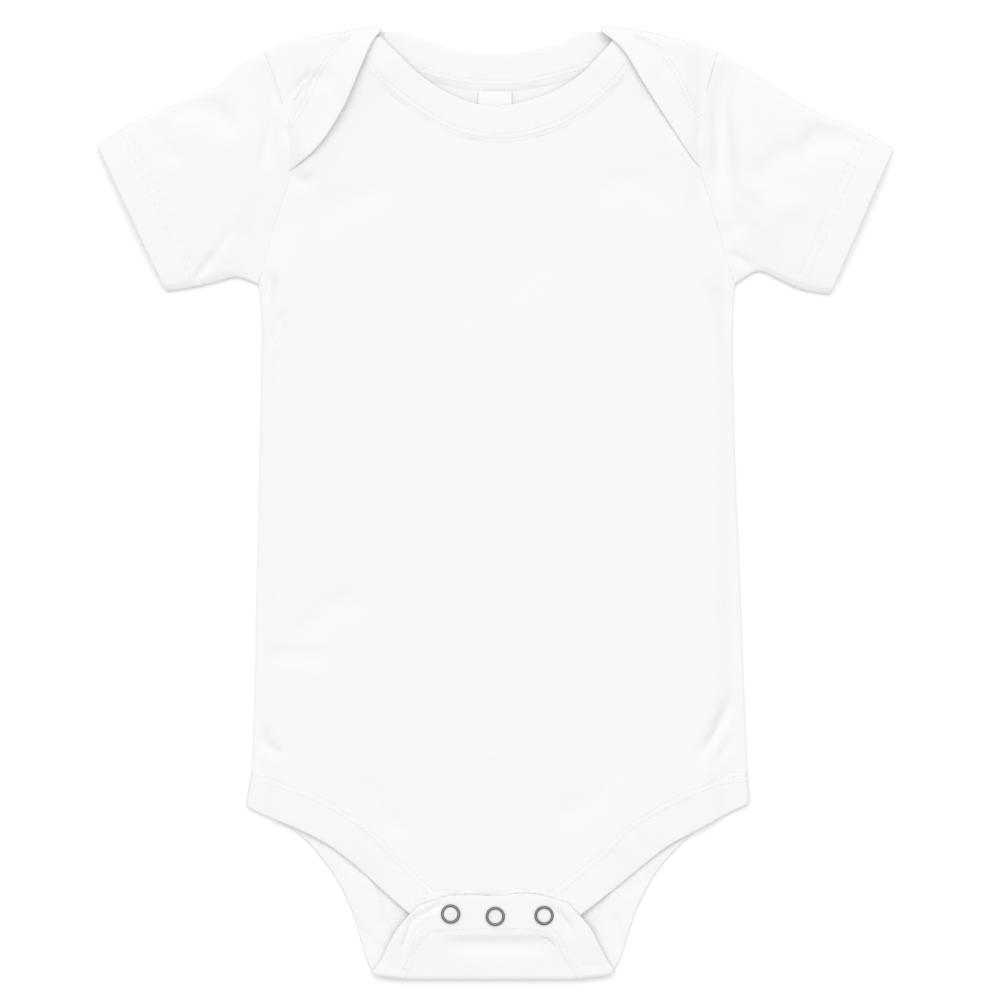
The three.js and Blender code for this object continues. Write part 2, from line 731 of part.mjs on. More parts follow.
// A leg band runs from the placket round the leg, over the crotch fold and up the flap.
function legBand(side, material) {
  const sign = side === "right" ? -1 : 1;
  const low = BAND / 2;
  const hip = turnOver(HIP_TURN[side], point(sign, 0), low, LEG_FRONT_Z).reverse();
  const crotch = turnOver(CROTCH_TURN[side], point(0, -1), low, FLAP_FOLD_Z);
  const frontArm = run(LEG_FRONT[side], () => LEG_FRONT_Z, 1, FRONT_LEG_STEPS, { before: hip[0] });
  const backArm = run(LEG_BACK[side], () => low, -1, BACK_LEG_STEPS, {
    before: hip[TURN_STEPS],
    after: crotch[0],
  });
  const flap = run(LEG_FLAP[side], (x, y) => flapMiddle(y), 1, 6, { before: crotch[TURN_STEPS] });
  const sections = [
    ...frontArm.slice(1).reverse(),
    ...hip,
    ...backArm.slice(1, -1),
    ...crotch,
    ...flap.slice(1),
  ];
  return band(`leg_band_${side}`, sections, material);
}

// A ring, disc or cup turned round an upright axis from its profile of radius and height.
function turned(name, profile, place, material) {
  const points = profile.map(([radius, height]) => new THREE.Vector2(radius, height));
  const geometry = new THREE.LatheGeometry([...points, points[0].clone()], SNAP_SEGMENTS);
  const mesh = new THREE.Mesh(geometry, material);
  mesh.name = name;
  mesh.rotation.x = Math.PI / 2;
  mesh.position.copy(place);
  return mesh;
}

// A closed ring snap: ring and socket on the flap's placket, stud and ring on the front's.
function snap({ name, x, y }, metal) {
  const group = new THREE.Group();
  const flapUnder = FLAP_PLACKET_Z - BAND / 2;
  const flapOver = FLAP_PLACKET_Z + BAND / 2;
  const frontOver = PLACKET_Z + BAND / 2;
  const frontUnder = PLACKET_Z - BAND / 2;
  const ring = [
    [SNAP_INNER, 0],
    [SNAP_OUTER, 0],
    [SNAP_OUTER, 0.4 * SNAP_RING_H],
    [SNAP_OUTER - 0.35, SNAP_RING_H],
    [SNAP_INNER + 0.35, SNAP_RING_H],
    [SNAP_INNER, 0.4 * SNAP_RING_H],
  ];
  const backRing = [
    [SNAP_INNER, 0],
    [SNAP_OUTER, 0],
    [SNAP_OUTER, SNAP_BACK_H],
    [SNAP_INNER, SNAP_BACK_H],
  ];
  const studBase = 0.4;
  const socketLow = frontOver + SNAP_CLEAR + studBase + SNAP_CLEAR;
  const socketHigh = flapUnder - SNAP_CLEAR;
  const socketInner = STUD_POST_R + SNAP_CLEAR;
  const socket = [
    [socketInner, socketLow],
    [SOCKET_R, socketLow],
    [SOCKET_R, socketHigh],
    [socketInner, socketHigh],
  ];
  const stud = [
    [0, 0],
    [SOCKET_R - 0.3, 0],
    [SOCKET_R - 0.3, studBase],
    [STUD_POST_R, studBase],
    [STUD_POST_R, socketHigh - frontOver - SNAP_CLEAR],
    [0, socketHigh - frontOver - SNAP_CLEAR],
  ];
  group.add(
    turned(`snap_ring_${name}`, ring, point(x, y, flapOver + SNAP_CLEAR), metal.clone()),
    turned(`snap_socket_${name}`, socket, point(x, y), metal.clone()),
    turned(`snap_stud_${name}`, stud, point(x, y, frontOver + SNAP_CLEAR), metal.clone()),
    turned(
      `snap_back_ring_${name}`,
      backRing,
      point(x, y, frontUnder - SNAP_CLEAR - SNAP_BACK_H),
      metal.clone(),
    ),
  );
  return group;
}

// The neck label lies inside the back, from the neckband's seam down.
function label(material) {
  const corner = (x, y) => point(x, y, CLOTH + LAYER_GAP + LABEL.wall);
  const rows = [
    [corner(LABEL.left, LABEL.bottom), corner(LABEL.right, LABEL.bottom)],
    [corner(LABEL.left, LABEL.top), corner(LABEL.right, LABEL.top)],
  ];
  for (const p of rows.flat()) p.wall = LABEL.wall;
  return wall("neck_label", [rows], material, false);
}

const cotton = (colour, roughness) => {
  return new THREE.MeshStandardMaterial({ color: colour, roughness, metalness: 0 });
};
const steel = new THREE.MeshStandardMaterial({ color: 0xc9cbcc, roughness: 0.28, metalness: 1 });

const group = new THREE.Group();
group.add(
  backPanel(cotton(0xf6f6f4, 0.95)),
  frontPanel(cotton(0xf8f8f6, 0.95)),
  sleeve("right", cotton(0xf7f7f5, 0.95)),
  sleeve("left", cotton(0xf7f7f5, 0.95)),
  backNeckband(cotton(0xf4f4f2, 0.9)),
  frontNeckband(cotton(0xf4f4f2, 0.9)),
  legBand("right", cotton(0xf4f4f2, 0.9)),
  legBand("left", cotton(0xf4f4f2, 0.9)),
  band(
    "flap_placket",
    run(FLAP_PLACKET, () => FLAP_PLACKET_Z, 1, 10),
    cotton(0xf4f4f2, 0.9),
  ),
  band(
    "front_placket",
    run(FRONT_PLACKET, () => PLACKET_Z, 1, 10),
    cotton(0xf4f4f2, 0.9),
  ),
  label(cotton(0xfafafa, 0.6)),
  ...SNAPS.map((place) => snap(place, steel)),
);
group.name = "baby_bodysuit";

export default group;
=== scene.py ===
# %% [markdown]
# # A baby bodysuit, laid flat
# A bodysuit is two jersey panels, two little sleeves and a few folded bindings. Laid flat it is only a few
# millimetres high, so what the eye reads is the outline, the seams, the bindings' thickness and the soft
# creases. Each cloth piece here is a grid that is laid over the real cut and then given its thickness.

import math

import bmesh
import bpy
import numpy as np
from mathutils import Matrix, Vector
from numpy.linalg import norm


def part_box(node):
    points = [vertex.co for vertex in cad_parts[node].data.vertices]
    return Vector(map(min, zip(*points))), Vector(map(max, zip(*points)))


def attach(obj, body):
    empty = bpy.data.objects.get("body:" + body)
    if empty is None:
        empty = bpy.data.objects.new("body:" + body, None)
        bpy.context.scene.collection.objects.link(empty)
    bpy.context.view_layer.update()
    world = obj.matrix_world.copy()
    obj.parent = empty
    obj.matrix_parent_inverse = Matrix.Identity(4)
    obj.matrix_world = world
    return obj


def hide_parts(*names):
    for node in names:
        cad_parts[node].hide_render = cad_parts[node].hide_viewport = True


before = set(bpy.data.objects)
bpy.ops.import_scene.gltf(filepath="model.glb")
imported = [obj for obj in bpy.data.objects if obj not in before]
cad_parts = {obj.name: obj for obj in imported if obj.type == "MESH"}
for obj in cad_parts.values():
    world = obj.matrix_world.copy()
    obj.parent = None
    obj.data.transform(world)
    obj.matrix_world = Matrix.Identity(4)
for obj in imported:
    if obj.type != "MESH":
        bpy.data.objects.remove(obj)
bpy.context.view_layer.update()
scene = bpy.context.scene

# %% [markdown]
# Sizes are in millimetres, as a pattern cutter writes them, and turn into metres only when a mesh is made.
# X runs to the wearer's left, Y to the neck. The two sides were never laid quite alike, so each has its own
# columns in the tables.

# %% Driving sizes
MM = 0.001
SIDES = ("right", "left")
CLOTH = 1.0  # jersey wall
HEM = 1.25  # turned hem
BAND = 1.6  # folded binding
CUT_EDGE = 0.25  # how far a cut edge is rounded
LAYER_GAP = 0.35
FRONT_EDGE_Z = 2 * CLOTH + LAYER_GAP
LOFT = 2.5  # how far the front rises over its side edges
EDGE_FALL = 12  # over this width
BODY_HALF = 110
ARMHOLE_INSET = 13
LAP_RISE = 0.95
LEG_FRONT_Z = 2.6  # the front bindings' middle at the hip
FLAP_FOLD_Z = 4.2
FLAP_PLACKET_Z = 6.45
CROTCH_FOLD_Y = -219.6
SLEEVE_EDGE = 2.8
SLEEVE_PUFF = 2.4
SLEEVE_PUFF_SEAM = 0.5
STITCH_PITCH = 2.1
STITCH_LENGTH, STITCH_THICK = 1.8, 0.3
HEM_ROWS = (12.6, 16.4)
CREASE_GAIN = 1.9
DEEPEST = 2.8
RIDGE = 0.07  # a crease's side ridge, as a share of its depth
CORNER = {"shoulder": 0.5, "hip": 2.6, "crotch": 4.0}  # how far a binding's free edge is drawn in at a fold
NECK_ROWS = (2.3, 4.6)  # stitch rows, from the seam
LEG_STITCH_ROWS = (0.7, 3.4)
PLACKET_ROW = 1.6
TUCK = 1.4  # how far a panel goes into its binding

# %% Seams and edges
ARMHOLE = {
    "right": [(-106.2, 207.2), (-100.3, 191.6), (-96.6, 174.7), (-94.5, 152), (-100.3, 132.9),
              (-105, 116), (-109, 100)],
    "left": [(102.1, 207.3), (97.3, 190), (93.7, 173.2), (93.8, 156), (98.8, 139), (104.5, 119), (110, 100)],
}
SIDE = {
    "right": [(-109, 100), (-107.4, 88), (-108.3, 24), (-109.7, -45), (-110.9, -100), (-112.2, -124.4)],
    "left": [(110, 100), (108.9, 88), (109.7, 24), (112.5, -45), (114.5, -100), (115.7, -124.4)],
}
SHOULDER = {
    "right": [(-106.2, 207.2), (-96.5, 210.8), (-84, 214.2), (-71.5, 216.4)],
    "left": [(102.1, 207.3), (93.5, 210.6), (81.5, 213.9), (68.8, 216.9)],
}

# %% [markdown]
# A binding is a strip with two edges: the seam it is sewn by and the fold that stays free. A row of each
# table is one section across the strip: seam x, seam y, edge x, edge y.

# %% Bindings and plackets
FRONT_NECK = [
    (-67.9, 210, -52.7, 214.1), (-56.4, 194.3, -43, 204.5), (-45.3, 184.7, -33.4, 195.7),
    (-29.2, 173.7, -20.9, 187.9), (-14.5, 167.4, -9.4, 183.5), (1.6, 165.1, 1.2, 182.2),
    (16.3, 166.8, 11.7, 184), (36.6, 174.6, 26, 188.8), (51.8, 186.5, 38.9, 196.7),
    (60, 194.8, 47.1, 204.9), (71.1, 210, 55.4, 214.1),
]
BACK_NECK = [
    (-63.2, 208.2, -47.6, 216.6), (-46.2, 199, -39.8, 215.3), (-32, 194.8, -30.1, 211.6),
    (-18.6, 191.6, -17.7, 207.9), (-1.2, 189.8, -1.2, 206.3), (16.3, 191.1, 15.4, 207.7),
    (34.7, 195.3, 30.6, 211.8), (48.1, 200.3, 38.9, 215.5), (61, 208.2, 44.4, 216.6),
]
LAP_BAND = {
    "right": [
        (-76.1, 209.1, -55.9, 211.8), (-84, 197.6, -61, 199.9), (-89.9, 186.5, -69.2, 180.6),
        (-94, 178.6, -81.7, 162.2), (-95.6, 175.6, -93.2, 153.2),
    ],
    "left": [
        (75.7, 210.6, 54.1, 211.8), (82.1, 203.4, 59.1, 206), (88.1, 194, 66.5, 193.4),
        (91.9, 186.4, 77.5, 176.4), (93.5, 181.6, 92.6, 155.2),
    ],
}
LAP_TIP = {"right": 175, "left": 181.2}
LAP_END = {"right": 150, "left": 152.0}
LEG_FRONT = {
    "right": [
        (-104.7, -125.8, -107.4, -143.4), (-88.1, -131.1, -91.3, -150), (-71.1, -139.6, -76.6, -157.6),
        (-57.7, -148.6, -64.2, -167.2), (-42.1, -164.5, -50.6, -179.6), (-28.4, -177.6, -38, -190.4),
    ],
    "left": [
        (103.3, -126.2, 107, -143), (87.8, -132.1, 92.6, -150.7), (73.8, -139.1, 79.4, -157.9),
        (61.4, -146.8, 68.4, -166.4), (50.5, -157.7, 57.3, -175.6), (28.4, -176.2, 39.4, -189.6),
    ],
}
LEG_BACK = {
    "right": [
        (-102.8, -126.3, -105.6, -144.2), (-86.2, -135, -90, -152.9), (-74.1, -145.3, -80.7, -162.6),
        (-64.9, -156.9, -72.6, -174.2), (-57.6, -170.4, -66.6, -186.6), (-51.6, -186.2, -61.8, -201.8),
        (-44.6, -206.8, -58.4, -212.4),
    ],
    "left": [
        (104.2, -127.7, 107.6, -143.2), (89.3, -134.6, 94.6, -149.8), (75.2, -145.2, 84.2, -158.3),
        (64.4, -156.6, 73.8, -170.4), (54.1, -173.7, 65.4, -186), (47.5, -190, 60.7, -199.6),
        (41.4, -207.6, 57.6, -209.6),
    ],
}
LEG_FLAP = {
    "right": [
        (-37.4, -211.6, -52.4, -209.4), (-35.4, -205.4, -48.8, -201.8), (-32.9, -200.4, -43.4, -193.4),
        (-29.9, -198, -36.2, -185.4),
    ],
    "left": [
        (32.2, -211.6, 51.6, -210.4), (29.4, -206, 48.2, -204), (27.6, -201.6, 43.6, -195.2),
        (25.2, -199.2, 34, -184.4),
    ],
}
SHOULDER_TURN = {"right": (-71.5, 216.4, -52.7, 219.6), "left": (68.8, 216.9, 48.5, 219.5)}
HIP_TURN = {"right": (-112.2, -124.9, -115, -140.4), "left": (115.7, -124.9, 117.1, -139)}
CROTCH_TURN = {
    "right": (-40.6, CROTCH_FOLD_Y, -56.8, CROTCH_FOLD_Y + 1.6),
    "left": (36.6, CROTCH_FOLD_Y, 54.6, CROTCH_FOLD_Y + 2),
}
FLAP_PLACKET = [
    (-29.2, -197.8, -35.4, -184.8), (-20.9, -197.6, -21.8, -180.7), (-10.8, -197.3, -10.8, -180.1),
    (-0.2, -197.1, -0.2, -180.5), (10.3, -197.1, 10.3, -179.5), (18.6, -197.8, 20, -180),
    (24.4, -198.8, 33.2, -183.8),
]
FRONT_PLACKET = [
    (-27.6, -178.2, -36.6, -191.6), (-20.9, -179.6, -25.5, -196.7), (-11.7, -177.9, -12.7, -197.1),
    (-0.2, -179.2, -0.2, -197.1), (11.3, -177.6, 12.2, -197.1), (20.8, -178, 24.1, -196.7),
    (27.4, -176.8, 37.6, -191),
]
SNAPS = {"right": (-20.6, -188.8), "middle": (-0.1, -189.9), "left": (22.3, -189.5)}
SLEEVE = {
    "right": [
        (-106.2, 207.2, -109, 100), (-117.2, 201.2, -118.9, 103.4), (-126.3, 192.9, -127, 101.6),
        (-139.6, 186.5, -135.6, 99.5), (-152.5, 181.3, -141.2, 98.5), (-169.1, 173.9, -146.4, 97.6),
        (-182.9, 164.1, -151.4, 97.2),
    ],
    "left": [
        (102.1, 207.3, 110, 100), (113.6, 200.7, 120.9, 106.2), (125.4, 192.9, 129.5, 102.8),
        (139.8, 184.2, 137.6, 99), (154.6, 176.8, 144, 97), (168.6, 171.4, 148.8, 96.2),
        (182.9, 163.2, 153.6, 95.7),
    ],
}

# %% [markdown]
# Creases are what makes flat cloth look soft. Each one is a line with a width and a depth:
# a positive depth is a trough and a negative one a ridge. The armpits, the hips and the sleeves hold most.

# %% Creases
# From x, from y, to x, to y, width, depth
CREASES = [
    (-103.5, 104, -104, 94, 1.6, 1.6), (-103, 72, -97.5, 86, 2, 0.8), (-106, 52, -101, 66, 2.4, 0.4),
    (-137, 102, -131, 112, 1.9, 1.2), (-132, 111, -122, 123, 2.2, 0.5), (-146, 184, -122, 176, 6, 1.7),
    (-158, 172, -146, 158, 5, 0.7), (-105.5, 203, -101.5, 184, 2.2, 1.1), (-103, 186, -105, 158, 3, 0.6),
    (-128, 152, -112, 118, 9, 0.35), (-118, 128, -109, 111, 3, 0.35), (-95, 184, -86, 197, 2.2, 1.3),
    (-93, 150, -85, 147, 3, 0.8), (-88, 158, -58, 200, 9, -0.9), (88, 160, 58, 205, 8, -0.55),
    (105.5, 202, 104, 146, 5, 1.6), (104, 180, 102, 150, 3, 0.5), (163, 171, 142, 163, 6, 1.9),
    (138, 160, 118, 152, 6, 0.8), (118, 140, 112, 128, 5, 0.4), (139, 140, 122, 122, 7, -0.5),
    (103, 124, 118, 127, 2.8, 0.5), (108, 113, 120, 108, 2, 1.2), (112, 108, 126, 104, 1.6, 0.8),
    (99, 99, 107, 80, 2.6, 1), (103, 104, 110, 86, 2, 0.6), (114, -85, 97, -112, 2.6, 1.6),
    (114, -98, 103, -118, 2.4, 0.8), (-111, -104, -101, -115, 2.4, 1.4), (-95, -58, -62, -45, 7, 0.45),
    (-106, -72, -78, -69, 4.5, 0.4), (-60, 60, 40, 96, 18, -0.4), (70, 10, 20, -60, 20, 0.4),
    (-80, 128, -52, 150, 8, 0.4), (78, 140, 48, 150, 8, 0.4), (60, -118, 30, -146, 7, 0.4),
    (-62, -132, -40, -150, 6, 0.4),
]


# %% [markdown]
# Two small tools do most of the pattern work: a smooth curve through a few points, and a patch that fills
# the area between four edges. They only say where a grid's corners go; an operator makes the grids.

# %% Curves and patches
def spline(points, steps, even=False):
    """Points on a smooth curve through the given ones, in equal steps along it if even."""
    p = np.array(points, float)
    p = np.vstack([2 * p[0] - p[1], p, 2 * p[-1] - p[-2]])
    fine = steps * 8 if even else steps
    t = np.linspace(0, len(p) - 3, fine + 1)
    k = np.minimum(t.astype(int), len(p) - 4)
    w = (t - k)[:, None]
    p0, p1, p2, p3 = p[k], p[k + 1], p[k + 2], p[k + 3]
    pairs = ((p0, p1), (p1, p2), (p2, p3))
    gap = [np.maximum(norm(b - a, axis=1), 1e-9)[:, None] ** 0.5 for a, b in pairs]
    start = ((p1 - p0) / gap[0] - (p2 - p0) / (gap[0] + gap[1]) + (p2 - p1) / gap[1]) * gap[1]
    stop = ((p2 - p1) / gap[1] - (p3 - p1) / (gap[1] + gap[2]) + (p3 - p2) / gap[2]) * gap[1]
    line = p1 + start * w + (3 * (p2 - p1) - 2 * start - stop) * w**2 + (2 * (p1 - p2) + start + stop) * w**3
    return spaced(line, steps) if even else line


def spaced(line, steps):
    """The same line in equal steps along its length."""
    length = np.concatenate([[0], np.cumsum(norm(np.diff(line, axis=0), axis=1))])
    at = np.linspace(0, length[-1], steps + 1)
    return np.stack([np.interp(at, length, line[:, k]) for k in range(line.shape[1])], axis=1)


def patch(near, far, right, left):
    """Rows of points between four edges: near and far run across, right and left join their ends."""
    u = np.linspace(0, 1, len(near))[None, :, None]
    w = np.linspace(0, 1, len(right))[:, None, None]
    flat = (1 - w) * near[None] + w * far[None] + (1 - u) * right[:, None] + u * left[:, None]
    corners = (1 - u) * (1 - w) * near[0] + u * (1 - w) * near[-1] + (1 - u) * w * far[0] + u * w * far[-1]
    return flat - corners


def smooth(t):
    """A soft step from 0 to 1."""
    c = np.clip(t, 0, 1)
    return c * c * (3 - 2 * c)


def across(a, b, columns):
    """A straight row of points between two ends."""
    return np.array(a) + np.linspace(0, 1, columns + 1)[:, None] * (np.array(b) - np.array(a))


# %% [markdown]
# The heights follow the layers: back, front, then the laps over the shoulders and the flap over the crotch.
# A few slow waves keep any stretch of cloth from being a plane.

# %% Heights of the layers
def crease_depth(x, y):
    """Depth of all creases: each wanders a little, fades at both ends and throws up a low ridge beside it."""
    depth = np.zeros_like(x)
    for k, (ax, ay, bx, by, width, deep) in enumerate(CREASES):
        length = math.hypot(bx - ax, by - ay)
        dx, dy = (bx - ax) / length, (by - ay) / length
        t = ((x - ax) * dx + (y - ay) * dy) / length
        side = (x - ax) * dy - (y - ay) * dx + 0.35 * width * np.sin(5 * t + 2.3 * k)
        fade = smooth((t + 0.3) / 0.55) * smooth((1.3 - t) / 0.55)
        ridge = np.exp(-(((side - 1.9 * width) / (1.3 * width)) ** 2))
        depth += deep * fade * (np.exp(-((side / width) ** 2)) - RIDGE * ridge)
    return np.minimum(CREASE_GAIN * depth, DEEPEST)


def slow_waves(x, y):
    """Unevenness of cloth that was only smoothed out by hand."""
    a = np.sin(x / 23 + 0.8 * np.sin(y / 41)) * np.sin(y / 37 + 1.1)
    b = np.sin((x + 0.6 * y) / 14 + 2.0) * np.sin((y - 0.3 * x) / 29)
    c = np.sin((x - 0.4 * y) / 8.5 + 0.7) * np.sin(y / 19 + 0.4)
    return 0.16 * a + 0.09 * b + 0.04 * c


def front_top(x, y):
    """Outer face of the front panel."""
    half = BODY_HALF - ARMHOLE_INSET * smooth((y - 95) / 45)
    rise = smooth((half - np.abs(x)) / EDGE_FALL)
    loft = LOFT * (0.65 + 0.35 * smooth((y + 182) / 40)) + slow_waves(x, y)
    return FRONT_EDGE_Z + rise * loft - np.sqrt(rise) * crease_depth(x, y)


def leg_front_middle(x, y):
    return np.maximum(LEG_FRONT_Z, front_top(x, y) - 0.55)


def lap_middle(x, y):
    return front_top(x, y) + LAP_RISE


def flap_middle(x, y):
    climb = smooth((y - CROTCH_FOLD_Y - 2) / 26)
    return FLAP_FOLD_Z + (FLAP_PLACKET_Z - FLAP_FOLD_Z) * climb


print("front rises to", round(float(front_top(np.array(0.0), np.array(0.0))), 2), "mm")


# %% [markdown]
# Every cloth piece is one or more grids. The grid operator makes the faces, the rows say where its corners
# lie, and a UV map in metres of cloth keeps the knit's size and direction right on every piece. Solidify then
# gives the wall its thickness inwards, and a small bevel rounds its cut edges, so seams read as soft valleys.

# %% Cloth from rows of points
def lay_grid(bm, rows, layer, flat=False):
    """Adds a grid with its corners on the rows' points. Its UV map follows the cloth, or X and Y if flat."""
    down, over = rows.shape[0] - 1, rows.shape[1] - 1
    made = bmesh.ops.create_grid(bm, x_segments=over, y_segments=down, size=0.5)["verts"]
    wide = norm(np.diff(rows, axis=1), axis=2)
    tall = norm(np.diff(rows, axis=0), axis=2)
    u = np.concatenate([np.zeros((down + 1, 1)), np.cumsum(wide, axis=1)], axis=1)
    u = u - u[:, [over // 2]]
    v = np.concatenate([[0], np.cumsum(tall.mean(axis=1))])
    place = {}
    for vert in made:
        i = round((vert.co.y + 0.5) * down)
        j = round((vert.co.x + 0.5) * over)
        place[vert] = (i, j)
        vert.co = Vector(rows[i, j]) * MM
    for face in {face for vert in made for face in vert.link_faces}:
        for loop in face.loops:
            i, j = place[loop.vert]
            loop[layer].uv = loop.vert.co.xy if flat else (u[i, j] * MM, v[i] * MM)


def add_object(name, data):
    made = bpy.data.objects.new(name, data)
    scene.collection.objects.link(made)
    return made


def finish_piece(name, bm, node, material):
    """Turns a bmesh into a piece that rides on the suit and stands for its CAD node."""
    mesh = bpy.data.meshes.new(name)
    bm.to_mesh(mesh)
    bm.free()
    mesh.shade_smooth()
    piece = add_object(name, mesh)
    piece.data.materials.append(material)
    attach(piece, "root")
    if node:
        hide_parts(node)
    return piece


def cloth_wall(name, grids, node, material, thickness=CLOTH, flip=False, flat=False):
    """A jersey piece: grids joined where they meet, thickened inwards, with its cut edges rounded."""
    bm = bmesh.new()
    layer = bm.loops.layers.uv.new("cloth")
    for rows in grids:
        lay_grid(bm, rows, layer, flat)
    bmesh.ops.remove_doubles(bm, verts=bm.verts, dist=0.02 * MM)
    if flip:
        bmesh.ops.reverse_faces(bm, faces=bm.faces)
    piece = finish_piece(name, bm, node, material)
    wall = piece.modifiers.new("wall", "SOLIDIFY")
    wall.thickness = thickness * MM
    wall.offset = -1
    soft = piece.modifiers.new("soft", "BEVEL")
    soft.width = CUT_EDGE * MM
    soft.segments = 2
    soft.limit_method = "ANGLE"
    soft.angle_limit = math.radians(55)
    print(name, len(piece.data.polygons), "faces before its wall")
    return piece


# %% [markdown]
# ## Materials
# White cotton is never flat white: light goes in and out between the loops. The knit is a group with named
# inputs, used by every cloth: columns of loops (wales) and the rows across them (courses), as height for a
# bump, plus a slow drift of tone and a painted shade in the gaps between the wales. The Principled shader
# itself stays in each material.

# %% Knit group
def socket(group, name, kind, way, value=None):
    made = group.interface.new_socket(name=name, in_out=way, socket_type="NodeSocket" + kind)
    if value is not None:
        made.default_value = value


def new_node(tree, kind, **values):
    made = tree.nodes.new("ShaderNode" + kind)
    for key, value in values.items():
        setattr(made, key, value)
    return made


def math_node(tree, operation, a, b=None):
    made = new_node(tree, "Math", operation=operation)
    for k, value in enumerate((a, b)):
        if value is None:
            continue
        if isinstance(value, (int, float)):
            made.inputs[k].default_value = value
        else:
            tree.links.new(value, made.inputs[k])
    return made.outputs[0]


def set_inputs(node, **values):
    """Sets sockets by name, with a low line for each space in it."""
    for key, value in values.items():
        node.inputs[key.replace("_", " ")].default_value = value


def noise(tree, vector, **values):
    made = new_node(tree, "TexNoise")
    set_inputs(made, **values)
    tree.links.new(vector, made.inputs["Vector"])
    return made.outputs["Fac"]


def knit_group():
    """Height, tone and painted shade between the wales of a knit, from a UV map in metres of cloth."""
    tree = bpy.data.node_groups.new("knit", "ShaderNodeTree")
    socket(tree, "Vector", "Vector", "INPUT")
    socket(tree, "Wale", "Float", "INPUT", 0.0009)
    socket(tree, "Course", "Float", "INPUT", 0.0007)
    socket(tree, "Rib", "Float", "INPUT", 0.0)
    socket(tree, "Colour", "Color", "INPUT", (0.8, 0.8, 0.8, 1))
    socket(tree, "Shade", "Color", "INPUT", (0.7, 0.7, 0.7, 1))
    socket(tree, "Height", "Float", "OUTPUT")
    socket(tree, "Tint", "Color", "OUTPUT")
    source = tree.nodes.new("NodeGroupInput").outputs
    result = tree.nodes.new("NodeGroupOutput").inputs
    link = tree.links.new

    def calc(operation, a, b=None):
        return math_node(tree, operation, a, b)

    wobble = noise(tree, source["Vector"], Scale=260)
    split = new_node(tree, "SeparateXYZ")
    link(source["Vector"], split.inputs[0])
    drift = calc("MULTIPLY", wobble, 0.0005)
    x = calc("DIVIDE", calc("ADD", split.outputs[0], drift), source["Wale"])
    y = calc("DIVIDE", split.outputs[1], source["Course"])
    column = calc("ABSOLUTE", calc("SINE", calc("MULTIPLY", x, math.pi)))
    slant = calc("ABSOLUTE", calc("SUBTRACT", calc("FRACT", x), 0.5))
    loop = calc("SINE", calc("MULTIPLY", calc("ADD", y, slant), 2 * math.pi))
    loops = calc("MULTIPLY", calc("ADD", loop, 1.0), 0.22)
    ribs = calc("MULTIPLY", column, calc("ADD", source["Rib"], 0.5))
    lint = calc("MULTIPLY", noise(tree, source["Vector"], Scale=2600, Detail=3), 0.5)
    link(calc("ADD", calc("ADD", loops, ribs), lint), result["Height"])
    patchy = noise(tree, source["Vector"], Scale=38, Detail=4)
    # painted shade: the colour darkens in the gaps between the wales, where the bump is low
    painted_pit_shade = calc("MULTIPLY", calc("SUBTRACT", 1.0, column), 0.35)
    mix = new_node(tree, "Mix", data_type="RGBA")
    link(calc("ADD", calc("MULTIPLY", patchy, 0.5), painted_pit_shade), mix.inputs["Factor"])
    link(source["Colour"], mix.inputs["A"])
    link(source["Shade"], mix.inputs["B"])
    link(mix.outputs["Result"], result["Tint"])
    return tree


KNIT = knit_group()


# %% [markdown]
# Jersey, rib binding and label tape share the knit group. Thread and the snaps' nickel have a fine grain
# instead; the nickel's dark colour is a painted dark reflection. White reads as white only if its darkest
# threads stay close to its lightest.

# %% Materials
def plain_material(name):
    made = bpy.data.materials.new(name)
    made.use_nodes = True
    return made, made.node_tree, made.node_tree.nodes["Principled BSDF"]


def cloth_material(name, colour, shade, wale, course, rib, depth, sheen, roughness):
    """White cotton: the knit's tone, with its painted shade between the wales, and bump into a rough, faintly
    fuzzy surface.
    """
    made, tree, shader = plain_material(name)
    link = tree.links.new
    where = new_node(tree, "UVMap", uv_map="cloth")
    knit = new_node(tree, "Group", node_tree=KNIT)
    set_inputs(knit, Wale=wale, Course=course, Rib=rib, Colour=(*colour, 1), Shade=(*shade, 1))
    bump = new_node(tree, "Bump")
    set_inputs(bump, Strength=0.55, Distance=depth)
    link(where.outputs["UV"], knit.inputs["Vector"])
    link(knit.outputs["Tint"], shader.inputs["Base Color"])
    link(knit.outputs["Height"], bump.inputs["Height"])
    link(bump.outputs["Normal"], shader.inputs["Normal"])
    set_inputs(shader, Roughness=roughness, Sheen_Weight=sheen, Sheen_Roughness=0.6, Specular_IOR_Level=0.2)
    return made


# SHADED is the darker end of the knit's colour: both the random tone drift and the painted shade between the
# wales lean to it
WHITE, SHADED = (0.845, 0.845, 0.84), (0.82, 0.82, 0.815)
JERSEY = cloth_material("white jersey", WHITE, SHADED, 0.00092, 0.0008, 0.15, 0.00004, 0.1, 0.95)
RIB = cloth_material("white rib binding", WHITE, SHADED, 0.0011, 0.0009, 0.2, 0.00004, 0.1, 0.95)
# SATIN_SHADED is the tape's darker end: its random tone and its painted shade between the wales
SATIN, SATIN_SHADED = (0.86, 0.86, 0.86), (0.83, 0.83, 0.83)
TAPE = cloth_material("label tape", SATIN, SATIN_SHADED, 0.0004, 0.0003, 0.1, 0.00003, 0.05, 0.45)


